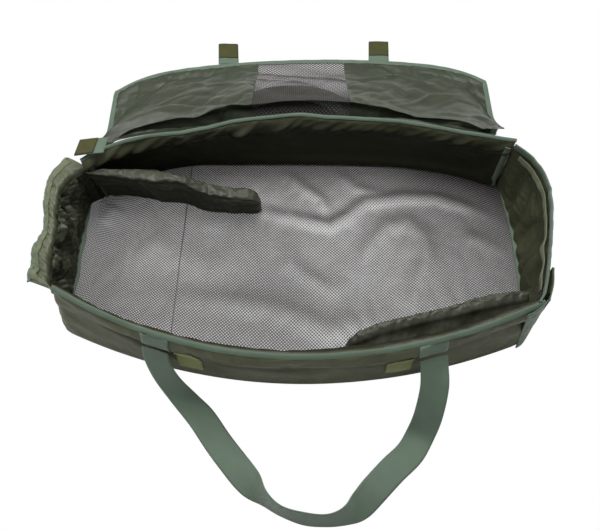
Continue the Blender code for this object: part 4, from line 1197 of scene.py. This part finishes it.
build_lid_tab("lid_tab_left", -1, -0.006)
build_lid_tab("lid_tab_right", 1, 0.002)


def open_tab(u, v):
    """A point of the back left tab: u from its root to its tip, v from its front edge to its back edge."""
    y = 0.1430 + 0.0470 * v - 0.007 * u
    return Vector((-0.3960 - 0.0470 * u, y, 0.1578 - 0.22 * (y - 0.165) + 0.0012 * math.sin(2.6 * u + 1.0)))


def build_back_left_tab():
    def strap_place(u, v):
        return open_tab(1.20 * u - 0.20, v)

    def hook_place(u, v):
        return open_tab(0.22 + 0.77 * u, 0.02 + 0.96 * v) + Vector((0.0, 0.0, 0.0020))
    tab = sheet_of("back_left_tab_webbing", 12, 12, strap_place, webbing, WEBBING_THICK)
    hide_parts("back_left_tab_strap")
    start, end = Vector((-0.391, 0.166, 0.158)), Vector((-0.400, 0.166, 0.158))
    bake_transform(tab)
    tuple(start)
    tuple(end)
    sewn_tape("back_left_tab_hooks", "back_left_tab_hook", "back_left_tab", hook_tape, "hook_tape",
              12, 12, hook_place, HOOK_THICK)


def build_front_right_tab():
    def strap_place(u, v):
        x, y = 0.4480 + 0.0180 * u, -0.1560 + 0.0660 * u
        bend = 0.0022 * math.sin(math.pi * u) + 0.0010 * uneven(u * 3.0, v * 2.0, 4.0)
        return Vector((x + bend, y - bend * 0.5, 0.096 + 0.048 * v))

    def hook_place(u, v):
        return strap_place(0.22 + 0.78 * u, 0.02 + 0.96 * v) + Vector((-0.0020, 0.0010, 0.0))
    sewn_tape("front_right_tab_webbing", "front_right_tab_strap", "front_right_tab", webbing, "teal_webbing",
              14, 12, strap_place)
    sewn_tape("front_right_tab_hooks", "front_right_tab_hook", "front_right_tab", hook_tape, "hook_tape",
              14, 12, hook_place, HOOK_THICK)


build_back_left_tab()
build_front_right_tab()


# Handle anchors and loop patches: squares of 50 mm webbing that hold the handles, and two of loop tape that
# the lid tabs close on. They are sewn flat on the outside of the long walls and follow the cloth.
loop_tape = fuzzy_tape("loop_tape_pile", (0.240, 0.260, 0.105), False)


def skin_of(pad):
    """The outer faces of a finished pad, to lay flat pieces on."""
    shaped = pad.evaluated_get(bpy.context.evaluated_depsgraph_get()).data
    return BVHTree.FromPolygons([v.co[:] for v in shaped.vertices], [f.vertices[:] for f in shaped.polygons])


front_skin, back_skin = skin_of(front_pad), skin_of(back_pad)


def wall_face(x, height, front, off):
    """A point on the outside of a long wall, a little off its cloth."""
    out = -1.0 if front else 1.0
    skin = front_skin if front else back_skin
    found = skin.ray_cast(Vector((x, out, height)), Vector((0.0, -out, 0.0)))[0]
    y = found.y if found else wall_middle(x, height, front) + out * WALL_THICK / 2
    return Vector((x, y + out * off, height))


def build_anchor(side, end, middle):
    tall = 0.046 if side == "front" else 0.014

    def place(u, v):
        off = 0.0014 + 0.0008 * math.sin(math.pi * v)
        return wall_face(middle + (u - 0.5) * TAPE_WIDTH, 0.102 + tall * v, side == "front", off)
    name = f"{side}_anchor_{end}"
    sewn_tape(name + "_webbing", name, "root", webbing, "teal_webbing", 12, 10, place)


def build_loop_patch(end, middle):
    def place(u, v):
        off = 0.0016 + 0.0006 * math.sin(5.0 * u + 3.0 * v)
        return wall_face(middle + (u - 0.5) * 0.046, 0.068 + 0.054 * v, True, off)
    sewn_tape(f"front_loop_{end}", f"front_loop_patch_{end}", "root", loop_tape, "loop_tape", 12, 12, place)


for side in ("front", "back"):
    build_anchor(side, "left", -0.240)
    build_anchor(side, "right", 0.240)
build_loop_patch("left", -0.185)
build_loop_patch("right", 0.185)


# Carry handles: long loops of 50 mm webbing from anchor to anchor. The front one lies on the ground with
# its bottom twisted on edge; the back one lies under the open lid, where it shows through the window.
FRONT_ROUTE = (
    (-0.243, -0.2490, 0.1160, -16, 0), (-0.241, -0.2622, 0.0930, -12, 0), (-0.228, -0.2816, 0.0580, -2, 0),
    (-0.203, -0.3040, 0.0170, 14, 0), (-0.170, -0.3360, 0.0022, 32, 0), (-0.134, -0.3820, 0.0020, 38, 0),
    (-0.102, -0.4190, 0.0024, 42, 3), (-0.074, -0.4500, 0.0100, 48, 24), (-0.048, -0.4760, 0.0235, 58, 66),
    (-0.018, -0.4970, 0.0255, 72, 78), (0.022, -0.5090, 0.0250, 84, 74), (0.062, -0.5110, 0.0250, 96, 74),
    (0.094, -0.5020, 0.0220, 112, 60), (0.118, -0.4840, 0.0130, 122, 28), (0.144, -0.4560, 0.0040, 129, 6),
    (0.176, -0.4230, 0.0022, 133, 0), (0.208, -0.3930, 0.0022, 142, 0), (0.228, -0.3610, 0.0060, 156, 0),
    (0.238, -0.3366, 0.0450, 168, 0), (0.245, -0.2996, 0.0850, 180, 0), (0.244, -0.2705, 0.1055, 192, 0),
    (0.242, -0.2560, 0.1170, 196, 0),
)
BACK_ROUTE = (
    (-0.240, 0.2300, 0.1130, -161, 0), (-0.239, 0.2400, 0.0820, -161, 0), (-0.236, 0.2550, 0.0480, -165, 0),
    (-0.232, 0.2760, 0.0180, -175, 0), (-0.222, 0.3030, 0.0030, 170, 0), (-0.198, 0.3450, 0.0020, 155, 0),
    (-0.166, 0.3900, 0.0020, 140, 0), (-0.126, 0.4280, 0.0020, 125, 0), (-0.076, 0.4500, 0.0020, 104, 0),
    (-0.020, 0.4560, 0.0020, 92, 0), (0.036, 0.4480, 0.0020, 72, 0), (0.086, 0.4220, 0.0020, 56, 0),
    (0.132, 0.3860, 0.0020, 44, 0), (0.174, 0.3440, 0.0020, 34, 0), (0.208, 0.3050, 0.0030, 18, 0),
    (0.226, 0.2820, 0.0180, 6, 0), (0.234, 0.2650, 0.0480, -4, 0), (0.238, 0.2500, 0.0820, -10, 0),
    (0.240, 0.2400, 0.1130, -12, 0),
)


def smooth_route(route, t):
    """A smooth curve through all points of a route, t from 0 to 1 along it."""
    place = t * (len(route) - 1)
    i = min(int(place), len(route) - 2)
    t = place - i
    before, after = route[max(i - 1, 0)], route[min(i + 2, len(route) - 1)]
    return [0.5 * (2 * q + (r - p) * t
                   + (2 * p - 5 * q + 4 * r - s) * t * t
                   + (3 * q - p - 3 * r + s) * t ** 3)
            for p, q, r, s in zip(before, route[i], route[i + 1], after)]


def build_handle(name, route, front):
    """Webbing along points of x, y, z, the turn of its width in plan and its tip on edge, in degrees."""
    out = -1 if front else 1

    def place(u, v):
        x, y, z, plan, edge = smooth_route(route, v)
        plan, edge = math.radians(plan), math.radians(edge)
        reach = (u - 0.5) * TAPE_WIDTH
        x += reach * math.cos(edge) * math.cos(plan)
        y += reach * math.cos(edge) * math.sin(plan)
        z += reach * math.sin(edge)
        clear = wall_middle(x, z, front) + out * (WALL_THICK / 2 + 0.0045)
        y = min(y, clear) if front else max(y, clear)
        crown = 0.0009 * (1.0 - (2.0 * u - 1.0) ** 2) + 0.0010 * uneven(v * 14.0, u * 1.5, 3.0)
        return Vector((x, y, max(z, 0.0010) + crown))
    strap = sheet_of(name + "_webbing", 12, 10 * (len(route) - 1), place, webbing, WEBBING_THICK)
    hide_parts(name)
    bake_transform(strap)


build_handle("front_handle", FRONT_ROUTE, True)
build_handle("back_handle", BACK_ROUTE, False)
